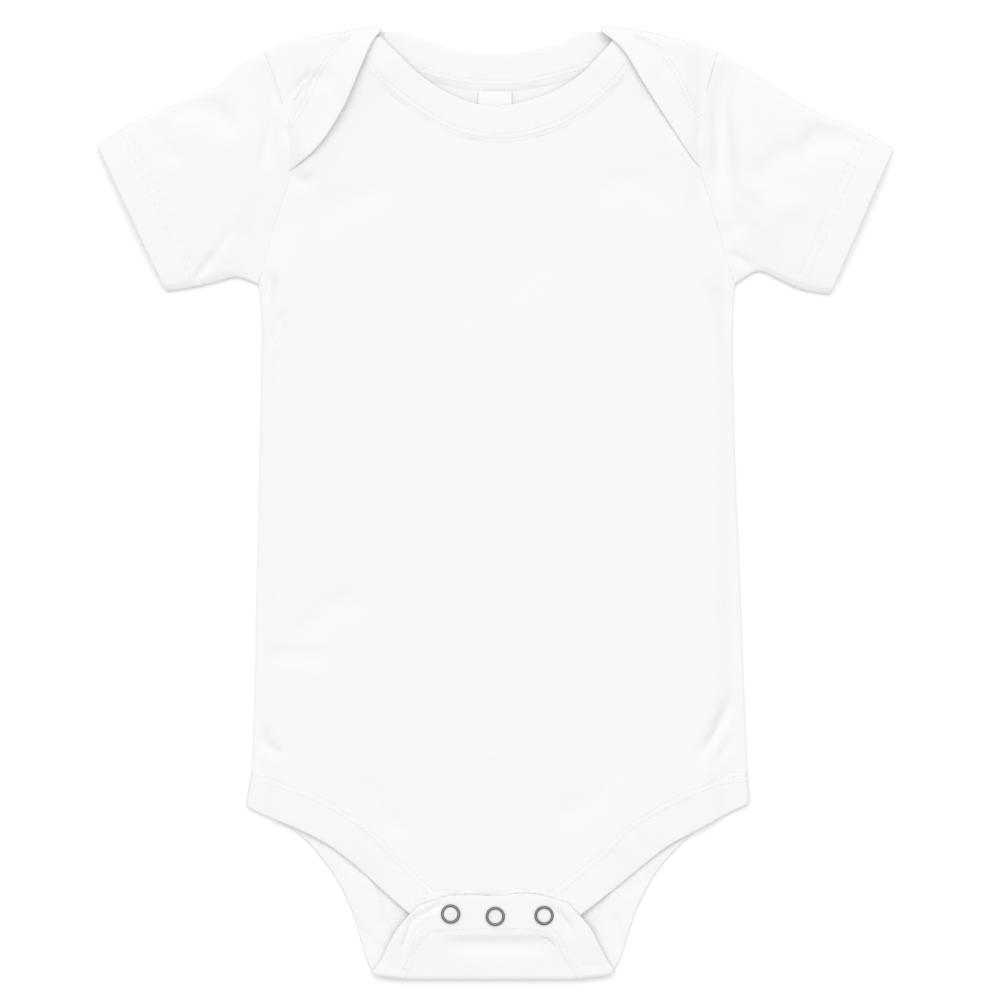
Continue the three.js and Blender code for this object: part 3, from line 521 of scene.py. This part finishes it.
def grained(name, colour, roughness, metallic, scale, depth):
    """A plain finish with fine grain in its bump and roughness: thread, or plated metal."""
    made, tree, shader = plain_material(name)
    link = tree.links.new
    where = new_node(tree, "TexCoord")
    grain = noise(tree, where.outputs["Object"], Scale=scale, Detail=3)
    spread = new_node(tree, "MapRange")
    set_inputs(spread, To_Min=roughness[0], To_Max=roughness[1])
    link(grain, spread.inputs["Value"])
    link(spread.outputs["Result"], shader.inputs["Roughness"])
    bump = new_node(tree, "Bump")
    set_inputs(bump, Strength=0.4, Distance=depth)
    link(grain, bump.inputs["Height"])
    link(bump.outputs["Normal"], shader.inputs["Normal"])
    tone = new_node(tree, "Mix", data_type="RGBA")
    set_inputs(tone, A=(*colour, 1), B=(*[c * 0.93 for c in colour], 1))
    link(grain, tone.inputs["Factor"])
    link(tone.outputs["Result"], shader.inputs["Base Color"])
    set_inputs(shader, Metallic=metallic)
    return made


THREAD = grained("white thread", (0.8, 0.8, 0.79), (0.5, 0.7), 0.0, 3000, 0.00005)
# painted dark reflection: the nickel's base colour is made dark to stand in for the dark surroundings that
# the rings would mirror
NICKEL_PAINTED_DARK = grained("nickel with painted dark reflection", (0.17, 0.17, 0.175), (0.2, 0.34), 1.0, 900, 0.00001)
print("materials:", [m.name for m in (JERSEY, RIB, TAPE, THREAD, NICKEL_PAINTED_DARK)])

# %% [markdown]
# ## Panels
# A panel is laid in three patches that share their rows: the leg part, the body and the yoke. The same edges
# serve the pieces next to it, so a seam is one line for both.

# %% Rows that the panels share
FRONT_GRID = {"shoulder": 20, "neck": 92, "body": 136, "yoke": 66}
BACK_GRID = {"shoulder": 16, "neck": 60, "body": 92, "yoke": 46}
LEG_ROWS, LAP_ROWS, FLAP_ROWS = 34, 24, 16
TURN = 10  # steps round a fold
FINE = 400  # steps along an armhole before it is cut to length


def seam_of(table):
    return [row[:2] for row in table]


def edge_of(table):
    return [row[2:] for row in table]


def tucked(table):
    """Seam points moved a little into the binding, which closes over the panel's edge."""
    points = []
    for row in table:
        seam, edge = np.array(row[:2]), np.array(row[2:])
        points.append(tuple(seam + (edge - seam) / norm(edge - seam) * TUCK))
    return points


def armhole(side, steps):
    return spline(ARMHOLE[side], steps, even=True)


def shoulder_outward(side, share):
    """Direction out over the shoulder fold: along the armhole at one end, straight up at the neck."""
    top, below = armhole(side, 12)[:2]
    slope = (top[0] - below[0]) / (top[1] - below[1])
    return np.array([slope * (1 - share), 1.0])


def body_rows(sizes):
    columns = sizes["neck"] + 2 * sizes["shoulder"]
    right = spline(SIDE["right"][::-1], sizes["body"], even=True)
    left = spline(SIDE["left"][::-1], sizes["body"], even=True)
    return np.array([across(a, b, columns) for a, b in zip(right, left)])


def yoke_rows(underarm, top, steps):
    sides = []
    for side, corner in (("right", top[0]), ("left", top[-1])):
        fine = spline(ARMHOLE[side], FINE, even=True)[::-1]
        below = fine[fine[:, 1] < corner[1] - 0.2]
        sides.append(spaced(np.vstack([below, corner[None]]), steps))
    return patch(underarm, top, *sides)


def leg_rows(crotch, hips, bands):
    sides = []
    for side, end, hip in (("right", crotch[0], hips[0]), ("left", crotch[-1], hips[-1])):
        points = [tuple(hip), *tucked(bands[side])][::-1]
        points[0] = tuple(end)
        sides.append(spline(points, LEG_ROWS, even=True))
    return patch(crotch, hips, *sides)


def with_height(rows, height):
    return np.dstack([rows, height(rows[..., 0], rows[..., 1])])


# %% Front panel
FRONT_INSET = 2.4  # the front stops this far inside the shoulder fold


def front_grid():
    sizes = FRONT_GRID
    body = body_rows(sizes)
    neck = spline(tucked(FRONT_NECK), sizes["neck"])
    ends = []
    for side, end in (("right", neck[0]), ("left", neck[-1])):
        steps = len(SHOULDER[side]) - 1
        points = []
        for i, place in enumerate(SHOULDER[side]):
            points.append(np.array(place) - FRONT_INSET * shoulder_outward(side, i / steps))
        points[-1] = end
        ends.append(spline(points, sizes["shoulder"], even=True)[:-1])
    yoke = yoke_rows(body[-1], np.vstack([ends[0], neck, ends[1][::-1]]), sizes["yoke"])
    crotch = spline(tucked(FRONT_PLACKET), body.shape[1] - 1, even=True)
    legs = leg_rows(crotch, body[0], LEG_FRONT)
    return with_height(np.concatenate([legs[:-1], body[:-1], yoke]), front_top)


front = cloth_wall("front", [front_grid()], "front_panel", JERSEY, flat=True)


# %% [markdown]
# The back lies on the surface. Over each shoulder it folds forward into a lap, and below it folds up over the
# front's crotch as the flap. Those folds are half turns of the same grid, so the cloth is never cut there.

# %% Back panel with its laps and flap
def fold_rows(outline, outward, height):
    """A half turn of the outer face round a fold, from the lower layer to the upper one."""
    angle = np.pi * np.arange(TURN + 1)[:, None] / TURN
    radius = height(outline[:, 0], outline[:, 1])[None] / 2
    reach = radius * (np.sin(angle) - 1)
    flat = outline[None] + reach[..., None] * outward[None]
    return np.dstack([flat, radius * (1 - np.cos(angle))])


def lap_grid(side):
    sign = -1 if side == "right" else 1
    columns = BACK_GRID["shoulder"]
    outline = spline(SHOULDER[side], columns, even=True)
    outward = np.array([shoulder_outward(side, j / columns) for j in range(columns + 1)])
    fold = fold_rows(outline, outward, lambda x, y: lap_middle(x, y) + CLOTH / 2)
    near = fold[-1][:, :2]
    fine = spline(ARMHOLE[side], FINE, even=True)
    arm = fine[(fine[:, 1] > LAP_TIP[side]) & (fine[:, 1] < near[0, 1])]
    tip = arm[-1]
    seam = [p for p in tucked(LAP_BAND[side]) if p[1] > LAP_TIP[side] + 1] + [(tip[0] - sign * 0.9, tip[1])]
    outer = spaced(np.vstack([near[:1], arm]), LAP_ROWS)
    inner = spline([near[-1], *seam], LAP_ROWS, even=True)
    rows = with_height(patch(near, across(tip, seam[-1], columns), outer, inner),
                       lambda x, y: lap_middle(x, y) + CLOTH / 2)
    grid = np.concatenate([fold, rows[1:]])
    return grid if side == "right" else grid[:, ::-1]


PLACKET_SEAM_Y = -198.2
HOLLOW = 1.3  # depth of the dip below the placket


def flap_top(x, y):
    """The flap's outer face, which hollows a little between the fold and the placket."""
    below = PLACKET_SEAM_Y - y
    hollow = smooth(below / 3.5) * (1 - smooth((below - 4) / 9)) * smooth((30 - np.abs(x - 2)) / 14)
    return flap_middle(x, y) + CLOTH / 2 - HOLLOW * hollow


def back_grids():
    sizes = BACK_GRID
    body = body_rows(sizes)
    columns = body.shape[1] - 1
    laps = {side: lap_grid(side) for side in SIDES}
    neck = spline([laps["right"][0][-1, :2], *tucked(BACK_NECK), laps["left"][0][0, :2]], sizes["neck"])
    top = np.vstack([laps["right"][0][:, :2], neck[1:-1], laps["left"][0][:, :2]])
    yoke = yoke_rows(body[-1], top, sizes["yoke"])
    line = across(CROTCH_TURN["right"][:2], CROTCH_TURN["left"][:2], columns)
    flat_height = FLAP_FOLD_Z + CLOTH / 2
    turn = fold_rows(line, np.tile([0.0, -1.0], (columns + 1, 1)), lambda x, y: np.full_like(x, flat_height))
    placket = spline(tucked(FLAP_PLACKET), columns, even=True)
    sides = []
    for side, k in (("right", 0), ("left", -1)):
        points = [turn[-1][k, :2], *tucked(LEG_FLAP[side])[:-1], placket[k]]
        sides.append(spline(points, FLAP_ROWS, even=True))
    flap = with_height(patch(turn[-1][:, :2], placket, *sides), flap_top)
    legs = leg_rows(turn[0][:, :2], body[0], LEG_BACK)
    flat = np.concatenate([legs[:-1], body[:-1], yoke])
    lying = np.dstack([flat, np.zeros(flat.shape[:2])])
    whole = np.concatenate([flap[1:][::-1], turn[1:][::-1], lying])
    return [whole, laps["right"], laps["left"]]


back = cloth_wall("back", back_grids(), "back_panel", JERSEY, flip=True, flat=True)


# %% [markdown]
# ## Sleeves
# A sleeve is a flattened tube: two layers joined by a soft fold above and the underarm seam below. The loops
# run round it, from the armhole to the cuff, where the hem is two layers thick.

# %% Sleeves
ACROSS = 60
ALONG = 60
BEND_STEPS = 6
BESIDE_FOLD = 2  # points next to a fold that its half turn takes the place of
HEM_DEPTH = 16.5
HEM_BLEND = 1.6  # the width over which the hem thins to one layer
GROOVE, GROOVE_WIDTH = 0.16, 0.9  # the dent that a row of hem stitches pulls


def sleeve_loops(side):
    """Closed loops of points round the sleeve, one for each step from the armhole to the cuff."""
    table = SLEEVE[side]
    sign = -1 if side == "right" else 1
    arm = armhole(side, ACROSS)
    y = arm[:, 1]
    beside_lap = smooth((y - LAP_END[side] + 4) / 5) * smooth((LAP_TIP[side] + 7 - y) / 6)
    below_lap = smooth((LAP_END[side] - y) / 5) * smooth((y - 103) / 5)
    above_lap = smooth((y - LAP_TIP[side] - 5) / 6) * smooth((205 - y) / 6)
    arm[:, 0] -= sign * (0.6 * beside_lap + 0.3 * below_lap - 0.12 * above_lap)
    cuff = across(table[-1][:2], table[-1][2:], ACROSS)
    flat = patch(arm, cuff, spline(seam_of(table), ALONG), spline(edge_of(table), ALONG))
    middle = flat[:, BESIDE_FOLD:-BESIDE_FOLD]
    away = from_cuff(side, middle)
    grooves = sum(GROOVE * np.exp(-(((away - d) / GROOVE_WIDTH) ** 2)) for d in HEM_ROWS)
    radius = SLEEVE_EDGE / 2
    share = np.linspace(0, 1, ALONG + 1)[:, None]
    puff = SLEEVE_PUFF_SEAM + (SLEEVE_PUFF - SLEEVE_PUFF_SEAM) * smooth(share * 3)
    bulge = np.sin(np.pi * np.arange(BESIDE_FOLD, ACROSS + 1 - BESIDE_FOLD) / ACROSS)[None] ** 0.4
    drop = crease_depth(middle[..., 0], middle[..., 1]) - 0.6 * slow_waves(middle[..., 0], middle[..., 1])
    # The upper layer sinks to the armhole seam, but beside the lap it starts from the lap's height
    joined = 0.5 * (1 - smooth(share * 14))
    joined = joined - 1.4 * smooth((middle[..., 1] - LAP_END[side]) / 14) * (1 - smooth(share * 7))
    upper = np.dstack([middle, SLEEVE_EDGE - joined + bulge * (puff - drop) - grooves])
    lower = np.dstack([middle[:, ::-1], np.zeros(middle.shape[:2])])

    def bend(end, inner, angles):
        """The half turn that closes the two layers along one side."""
        inward = inner - end
        inward /= norm(inward, axis=1)[:, None]
        points = [np.column_stack([end + inward * radius * (1 - math.sin(a)),
                                   np.full(len(end), radius * (1 + math.cos(a)))]) for a in angles]
        return np.stack(points, axis=1)

    angles = np.linspace(0, math.pi, BEND_STEPS + 1)
    underarm = bend(flat[:, -1], flat[:, -2], angles)
    top = bend(flat[:, 0], flat[:, 1], angles[::-1])
    loop = np.concatenate([upper, underarm, lower, top], axis=1)
    return np.concatenate([loop, loop[:, :1]], axis=1)


def from_cuff(side, points):
    """How far points lie from the cuff's line, seen from above."""
    a, b = np.array(SLEEVE[side][-1][:2]), np.array(SLEEVE[side][-1][2:])
    normal = np.array([b[1] - a[1], a[0] - b[0]]) / norm(b - a)
    return np.abs((points[..., :2] - a) @ normal)


def make_sleeve(side):
    loops = sleeve_loops(side)
    piece = cloth_wall(f"{side}_sleeve", [loops], f"sleeve_{side}", JERSEY, flip=side == "right")
    away = from_cuff(side, np.array([v.co for v in piece.data.vertices]) / MM)
    thick = smooth((HEM_DEPTH + 1 - away) / HEM_BLEND)
    group = piece.vertex_groups.new(name="hem")
    for i, share in enumerate(thick):
        group.add([i], (CLOTH + (HEM - CLOTH) * float(share)) / HEM, "REPLACE")
    wall = piece.modifiers["wall"]
    wall.thickness = HEM * MM
    wall.vertex_group = "hem"
    return piece, loops


sleeves = {side: make_sleeve(side) for side in SIDES}


# %% [markdown]
# ## Bindings
# A binding is a strip folded round the cloth's raw edge, so its free edge is a round fold and its other edge
# dips into the seam. It is a closed ring of points carried along the seam, over the folds of the cloth too.

# %% Strip along a seam
STEPS = {"lap": 66, "neck": 80, "front neck": 110, "leg front": 80, "leg back": 64, "flap": 30, "placket": 44}


def run(table, middle, face, steps, before=None, after=None):
    """Sections of a band that lies flat: seam points, edge points and the way its face points."""
    seam = [*([before[0]] if before else []), *seam_of(table), *([after[0]] if after else [])]
    edge = [*([before[1]] if before else []), *edge_of(table), *([after[1]] if after else [])]
    seam = spline([tuple(p)[:2] for p in seam], steps)
    edge = spline([tuple(p)[:2] for p in edge], steps)
    lift = lambda p: np.column_stack([p, middle(p[:, 0], p[:, 1]) * np.ones(len(p))])
    return [(s, e, np.array([0, 0, face], float)) for s, e in zip(lift(seam), lift(edge))]


def turn_over(fold, outward, low, high, corner):
    """Sections of a band over a fold, from the lower layer up to the higher one."""
    radius = (high - low) / 2
    sections = []
    for k in range(TURN + 1):
        angle = math.pi * k / TURN
        reach = radius * (math.sin(angle) - 1) - BAND / 2
        z = low + radius * (1 - math.cos(angle))
        at = lambda x, y: np.array([x + outward[0] * reach, y + outward[1] * reach, z])
        face = np.array([outward[0] * math.sin(angle), outward[1] * math.sin(angle), -math.cos(angle)])
        seam, edge = at(*fold[:2]), at(*fold[2:])
        drawn_in = CORNER[corner] * math.sin(angle) ** 2 / norm(edge - seam)
        sections.append((seam, edge + (seam - edge) * drawn_in, face))
    return sections


def section_frames(sections):
    """Each section's seam point, direction across, width and face."""
    frames = []
    for seam, edge, face in sections:
        over = edge - seam
        width = norm(over)
        over = over / width
        up = face - over * (face @ over)
        frames.append((seam, over, width, up / norm(up)))
    return frames


# From the seam across the strip, and the height there as a share of half the thickness
SEAM_SIDE = [(-1.4, 0.1), (-0.5, 0.35), (0.4, 0.62), (1.4, 0.86), (2.4, 0.97), (3.6, 1.0), (5.0, 1.0)]


def band_profile(width):
    """The strip's section: seam side, crown, free fold, and back underneath."""
    half = BAND / 2
    crown = [*SEAM_SIDE]
    crown += [(5 + (width - 8.2) * t, 1 + 0.04 * math.sin(math.pi * t)) for t in np.linspace(0, 1, 9)[1:]]
    crown += [(width - 1.6, 0.98), (width - half, 0.86)]
    angles = np.linspace(0.5, math.pi - 0.5, 4)
    nose = [(width - half + half * math.sin(a), 0.9 * math.cos(a)) for a in angles]
    under = [(x, -h) for x, h in crown[::-1]]
    return [(x, h * half) for x, h in crown + nose + under]


# From x, from y, to x, to y, width, depth
BAND_CREASES = [
    (-42, -203, -38, -191.5, 1.2, 0.9), (-38, -191.5, -25, -184.5, 1.2, 0.8),
    (-43.6, -201.5, -39.8, -190.6, 1.3, -0.55), (-39.8, -190.6, -26, -182.6, 1.3, -0.55),
    (27, -185.5, 32.5, -193, 1.3, 0.9), (28.2, -183.8, 34.2, -191.6, 1.3, -0.55),
    (32, -192, 36, -199, 1.6, 0.5), (-10.8, -194, -10, -183, 2.2, 0.35),
    (11.2, -194, 10.6, -183, 2.2, 0.35), (-46, -214, -39, -217, 1.6, 0.5), (44, -213, 52, -217, 1.8, 0.4),
    (-80, 196, -66, 178, 3, 0.4), (78, 200, 70, 184, 3, 0.4), (-60, -140, -52, -160, 1.8, 0.3),
    (62, -150, 70, -160, 1.8, 0.3), (-62, -196, -52, -206, 2, 0.6), (-66, -188, -60, -204, 2.2, 0.5),
    (54, -192, 60, -206, 2.4, 0.7), (62, -178, 72, -172, 2.2, 0.4), (-60, -172, -68, -166, 2, 0.4),
]


def ripple(x, y, along=0.0):
    """The small wave of a binding that was stretched as it was sewn, and the depth of its creases."""
    wave = 0.07 * math.sin(along / 2.3 + 0.9 * math.sin(along / 9.0)) + 0.07 * math.sin(along / 5.7 + 1.3)
    depth = 0.0
    for ax, ay, bx, by, width, deep in BAND_CREASES:
        length = math.hypot(bx - ax, by - ay)
        t = ((x - ax) * (bx - ax) + (y - ay) * (by - ay)) / length**2
        past = max(0.0, -t, t - 1) * length
        side = ((x - ax) * (by - ay) - (y - ay) * (bx - ax)) / length
        depth += deep * math.exp(-((side / width) ** 2) - (past / width) ** 2)
    return wave, depth


def lay_profile(seam, over, width, up, along, hold):
    """One ring of a binding: its section set on its seam point, with the waves on the upper side."""
    ring = []
    for a, h in band_profile(width):
        place = seam + over * a + up * h
        if h * up[2] > 0 and abs(up[2]) > 0.5:
            near_seam = 1.6 * math.exp(-(((a - 2.0) / 2.5) ** 2))
            wave, depth = ripple(place[0], place[1], along)
            height = wave * hold * (0.6 + near_seam) - 0.9 * depth
            place = place + np.array([0, 0, height * min(1.0, max(0.0, a / 1.5))])
        ring.append(place)
    return ring


def strip(name, sections, node):
    """A binding: one ring of points for each section, joined into a tube with its two ends closed."""
    frames = section_frames(sections)
    places = np.array([seam for seam, *_ in frames])
    along = np.concatenate([[0], np.cumsum(norm(np.diff(places, axis=0), axis=1))])
    hold = smooth(np.minimum(along, along[-1] - along) / 4)
    rows = np.array([lay_profile(*f, s, h) for f, s, h in zip(frames, along, hold)])
    rows = np.concatenate([rows, rows[:, :1]], axis=1)
    bm = bmesh.new()
    layer = bm.loops.layers.uv.new("cloth")
    lay_grid(bm, rows, layer)
    for face in bm.faces:
        for loop in face.loops:
            u, v = loop[layer].uv
            loop[layer].uv = (v, u)
    bmesh.ops.remove_doubles(bm, verts=bm.verts, dist=0.002 * MM)
    ends = [e for e in bm.edges if e.is_boundary]
    bmesh.ops.holes_fill(bm, edges=ends, sides=0)
    for edge in ends:
        edge.smooth = False
    bmesh.ops.recalc_face_normals(bm, faces=bm.faces)
    piece = finish_piece(name, bm, node, RIB)
    print(name, len(piece.data.polygons), "faces")
    return piece, rows


# %% Neckbands
LOW = BAND / 2


def shoulder_turn(side):
    x, y = SHOULDER_TURN[side][:2]
    top = float(lap_middle(np.array(x), np.array(y)))
    return turn_over(SHOULDER_TURN[side], (0, 1), LOW, top, "shoulder")


LAP_LIFT = {"right": 3.2, "left": 1.6}  # how far the middle of a lap's free edge stands up
LAP_TIP_STEP = 60  # the step of the run that reaches the lap's tip
LAP_DRAWN_IN, TIP_DROP = 0.7, 0.85
LAP_END_ROW = {"right": (-97.6, 173.6, -95.6, 151.6), "left": (95.3, 179.8, 94.8, 153.8)}


def lap_run(side, turned):
    sections = run([*LAP_BAND[side], LAP_END_ROW[side]], lap_middle, 1, STEPS["lap"], before=turned[-1])
    for k, (seam, edge, face) in enumerate(sections):
        share = min(1, k / LAP_TIP_STEP)
        arch = math.sin(math.pi * share)
        inward = (seam - edge)[:2]
        edge[:2] += inward / norm(inward) * LAP_DRAWN_IN * arch
        edge[2] += LAP_LIFT[side] * arch**1.3 - TIP_DROP * float(smooth((share - 0.5) / 0.3))
    return sections[1:]


right_turn, left_turn = shoulder_turn("right"), shoulder_turn("left")
back_neck = run(BACK_NECK, lambda x, y: LOW, -1, STEPS["neck"], before=right_turn[0], after=left_turn[0])
neck_sections = [
    *lap_run("right", right_turn)[::-1],
    *right_turn[::-1],
    *back_neck[1:-1],
    *left_turn,
    *lap_run("left", left_turn),
]
neckband_back, back_neck_frames = strip("back_neckband", neck_sections, "neckband_back")
BUMPS_AT, BUMP, BUMP_WIDTH = (0.13, 0.87), 0.9, 0.07  # where the free edge lifts beside the laps
front_sections = run(FRONT_NECK, lambda x, y: front_top(x, y) - 0.4, 1, STEPS["front neck"])
for k, (seam, edge, face) in enumerate(front_sections):
    share = k / STEPS["front neck"]
    edge[2] += sum(BUMP * math.exp(-(((share - t) / BUMP_WIDTH) ** 2)) for t in BUMPS_AT)
neckband_front, front_neck_frames = strip("front_neckband", front_sections, "neckband_front")


# %% Leg bands
EDGE_DROOP = 0.8  # how far a band's free edge sags onto the layer below


def droop(sections):
    """Lets the free edge of a run sag, but not at its two ends, where it meets its neighbours."""
    last = len(sections) - 1
    for k, (seam, edge, face) in enumerate(sections):
        edge[2] -= EDGE_DROOP * float(smooth(min(k, last - k) / last / 0.2))
    return sections


def leg_sections(side):
    sign = -1 if side == "right" else 1
    hip = turn_over(HIP_TURN[side], (sign, 0), LOW, LEG_FRONT_Z, "hip")[::-1]
    crotch = turn_over(CROTCH_TURN[side], (0, -1), LOW, FLAP_FOLD_Z, "crotch")
    end = 0 if side == "right" else -1
    front = [*LEG_FRONT[side][:-1], FRONT_PLACKET[end]]
    front_arm = run(front, leg_front_middle, 1, STEPS["leg front"], before=hip[0])
    back_arm = run(LEG_BACK[side], lambda x, y: LOW, -1, STEPS["leg back"], before=hip[-1], after=crotch[0])
    flap = [*LEG_FLAP[side][:-1], FLAP_PLACKET[end]]
    flap = run(flap, flap_middle, 1, STEPS["flap"], before=crotch[-1])
    return [*droop(front_arm)[1:][::-1], *hip, *back_arm[1:-1], *crotch, *droop(flap)[1:]]


leg_bands = {}
for side in SIDES:
    leg_bands[side] = strip(f"{side}_leg_band", leg_sections(side), f"leg_band_{side}")

# %% Plackets
over_sections = run(FLAP_PLACKET, flap_middle, 1, STEPS["placket"])
flap_placket, flap_frames = strip("placket_on_flap", over_sections, "flap_placket")
under_sections = run(FRONT_PLACKET, leg_front_middle, 1, STEPS["placket"])
front_placket, under_frames = strip("placket_on_front", under_sections, "front_placket")


# %% [markdown]
# ## Stitches
# Stitches are small but they are what says that cloth was sewn. Each is a small ball from an operator, drawn
# out into a short thread and turned to its seam, and all the stitches of a seam are one piece.

# %% Stitches along a line
def stitch_row(bm, line, ups):
    """Lays stitches along a line of points, each turned to the line and to the cloth's face."""
    steps = max(1, int(norm(np.diff(line, axis=0), axis=1).sum() / STITCH_PITCH))
    even = spaced(np.hstack([line, ups]), steps * 2)
    for k in range(1, len(even), 2):
        middle, up = Vector(even[k, :3]), Vector(even[k, 3:]).normalized()
        along = Vector(even[min(k + 1, len(even) - 1), :3] - even[k - 1, :3]).normalized()
        side = up.cross(along).normalized()
        made = bmesh.ops.create_uvsphere(bm, u_segments=6, v_segments=4, radius=0.5)["verts"]
        for vert in made:
            x, y, z = vert.co
            local = along * (z * STITCH_LENGTH) + side * (x * STITCH_THICK) + up * (y * STITCH_THICK)
            vert.co = (middle + local) * MM


def row_on_band(rows, distance, start=0, stop=None, inner=False):
    """A line on a binding's face at a small distance from its seam, and the way that the face points."""
    reach = [a for a, h in SEAM_SIDE]
    count = len(reach)
    rows = rows[:, -2::-1] if inner else rows
    line = [[np.interp(distance, reach, ring[:count, k]) for k in range(3)] for ring in rows[start:stop]]
    ups = rows[start:stop, count - 1] - rows[start:stop, -count - 1 + inner]
    return np.array(line), ups / norm(ups, axis=1)[:, None]


def row_on_hem(side, loops, distance):
    """A line round the sleeve at a distance from its cuff, with the cloth's outward direction."""
    away = from_cuff(side, loops)
    line = []
    for j in range(loops.shape[1]):
        column, reach = loops[::-1, j], away[::-1, j]
        line.append([np.interp(distance, reach, column[:, k]) for k in range(3)])
    line = np.array(line)
    middle = line.mean(axis=0)
    inside = np.array([middle[0], middle[1], SLEEVE_EDGE / 2])
    ups = line - inside
    flat = (line[:, 2] > SLEEVE_EDGE - 0.4) | (line[:, 2] < 0.4)
    ups[flat] = np.where(line[flat, 2:] > 1, [0, 0, 1], [0, 0, -1])
    return line, ups


def stitched_piece(name, lines):
    bm = bmesh.new()
    for line, ups in lines:
        stitch_row(bm, line, ups)
    piece = finish_piece(name, bm, None, THREAD)
    print(name, len(piece.data.polygons), "faces")


lap_end = len(neck_sections) // 2 - (STEPS["neck"] // 2 - 1)
both_necks = (front_neck_frames, back_neck_frames)
neck_lines = [row_on_band(rows, d, 1, -1) for rows in both_necks for d in NECK_ROWS]
neck_lines += [row_on_band(back_neck_frames, d, lap_end, -lap_end, inner=True) for d in NECK_ROWS]
stitched_piece("stitches_neck", neck_lines)
for side in SIDES:
    frames = leg_bands[side][1]
    stitched_piece(f"stitches_leg_{side}", [row_on_band(frames, d, 1, -1) for d in LEG_STITCH_ROWS])
    loops = sleeves[side][1]
    stitched_piece(f"stitches_hem_{side}", [row_on_hem(side, loops, d) for d in HEM_ROWS])
stitched_piece("stitches_placket", [
    row_on_band(flap_frames, PLACKET_ROW, 1, -1),
    row_on_band(under_frames, PLACKET_ROW, 1, -1),
])


# %% [markdown]
# ## Snaps and label
# An open ring snap is a thin ring of plated brass pressed round the cloth, which shows in its middle. The
# ring is a small rounded section spun once round.

# %% Ring snaps
RING_RADIUS, RING_WIDE, RING_HIGH, RING_LIFT = 3.82, 1.25, 0.95, 0.35


def snap_ring(name, x, y, tilt):
    bm = bmesh.new()
    for vert in bmesh.ops.create_circle(bm, segments=14, radius=0.5)["verts"]:
        across_ring = RING_RADIUS + RING_WIDE * vert.co.x
        vert.co = Vector((across_ring, 0, RING_LIFT + RING_HIGH * vert.co.y)) * MM
    section = bm.verts[:] + bm.edges[:]
    bmesh.ops.spin(bm, geom=section, cent=(0, 0, 0), axis=(0, 0, 1), angle=2 * math.pi, steps=48,
                   use_merge=True)
    bmesh.ops.remove_doubles(bm, verts=bm.verts, dist=0.01 * MM)
    bmesh.ops.recalc_face_normals(bm, faces=bm.faces)
    base = float(flap_middle(np.array(x), np.array(y))) + BAND / 2 + 0.1
    for vert in bm.verts:
        lean = vert.co.x * math.sin(tilt[0]) + vert.co.y * math.sin(tilt[1])
        vert.co = Vector((vert.co.x + x * MM, vert.co.y + y * MM, vert.co.z + base * MM + lean))
    finish_piece(f"open_{name}", bm, name, NICKEL_PAINTED_DARK)


# How much each ring leans along X and along Y, in radians
TILTS = {"right": (0.04, -0.03), "middle": (0.0, 0.02), "left": (-0.05, 0.02)}
for side, (x, y) in SNAPS.items():
    snap_ring(f"snap_ring_{side}", x, y, TILTS[side])
for name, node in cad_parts.items():
    if name.startswith(("snap_socket", "snap_stud", "snap_back")):
        node.data.materials.clear()
        node.data.materials.append(NICKEL_PAINTED_DARK)

# %% Neck label
LABEL_LOW, LABEL_HIGH = (np.array(c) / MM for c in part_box("neck_label"))


def label_grid():
    x = np.linspace(LABEL_LOW[0], LABEL_HIGH[0], 13)
    y = np.linspace(LABEL_LOW[1], LABEL_HIGH[1], 11)
    xs, ys = np.meshgrid(x, y)
    curl = 0.1 * np.sin((xs - LABEL_LOW[0]) / 5.0) + 0.08 * np.cos((ys - LABEL_LOW[1]) / 4.0)
    return np.dstack([xs, ys, LABEL_HIGH[2] - 0.15 + curl])  # curl stays under the node's top


label = cloth_wall("bare_label", [label_grid()], "neck_label", TAPE, thickness=0.5)


# %% [markdown]

# %% [markdown]
# ## Surface, light and camera
# White cloth on white needs soft light with a clear side. A wide lamp overhead, leaning to the neck, gives
# each lower edge its shadow, and a bright world fills the rest. The camera looks straight down.

# %% Stage
SUN_PLACE, SUN_ANGLE, SUN_LIGHT, WORLD_LIGHT = (-0.05, 0.5, 1.6), 1.3, 1.88, 0.55


def pale_floor():
    bm = bmesh.new()
    bmesh.ops.create_grid(bm, x_segments=1, y_segments=1, size=3)
    mesh = bpy.data.meshes.new("surface")
    bm.to_mesh(mesh)
    bm.free()
    floor = add_object("surface", mesh)
    made, _, shader = plain_material("pale surface")
    set_inputs(shader, Base_Color=(0.93, 0.93, 0.93, 1), Roughness=0.9, Specular_IOR_Level=0.0)
    mesh.materials.append(made)


def soft_sun(name, place, angle, strength):
    """Even light from one side, as from a large window far off."""
    data = bpy.data.lights.new(name, "SUN")
    data.angle = angle
    data.energy = strength
    made = add_object(name, data)
    made.location = place
    made.rotation_euler = (-Vector(place)).to_track_quat("-Z", "Y").to_euler()


pale_floor()
soft_sun("window", SUN_PLACE, SUN_ANGLE, SUN_LIGHT)
world = bpy.data.worlds.new("studio")
world.use_nodes = True
set_inputs(world.node_tree.nodes["Background"], Color=(1, 1, 1, 1), Strength=WORLD_LIGHT)
scene.world = world
scene.view_settings.view_transform = "Standard"
scene.view_settings.look = "None"

# %% Camera
PIXEL = 0.46  # millimetres to a pixel of the picture
VIEW = 1000 * PIXEL * MM
VIEW_CENTRE = (2.07 * MM, 1.15 * MM)
HEIGHT = 3.0
camera = bpy.data.cameras.new("camera")
camera.sensor_width = 36
camera.lens = camera.sensor_width / 2 / (VIEW / 2 / HEIGHT)
camera.clip_end = 20
eye = add_object("camera", camera)
eye.location = (*VIEW_CENTRE, HEIGHT)
scene.camera = eye
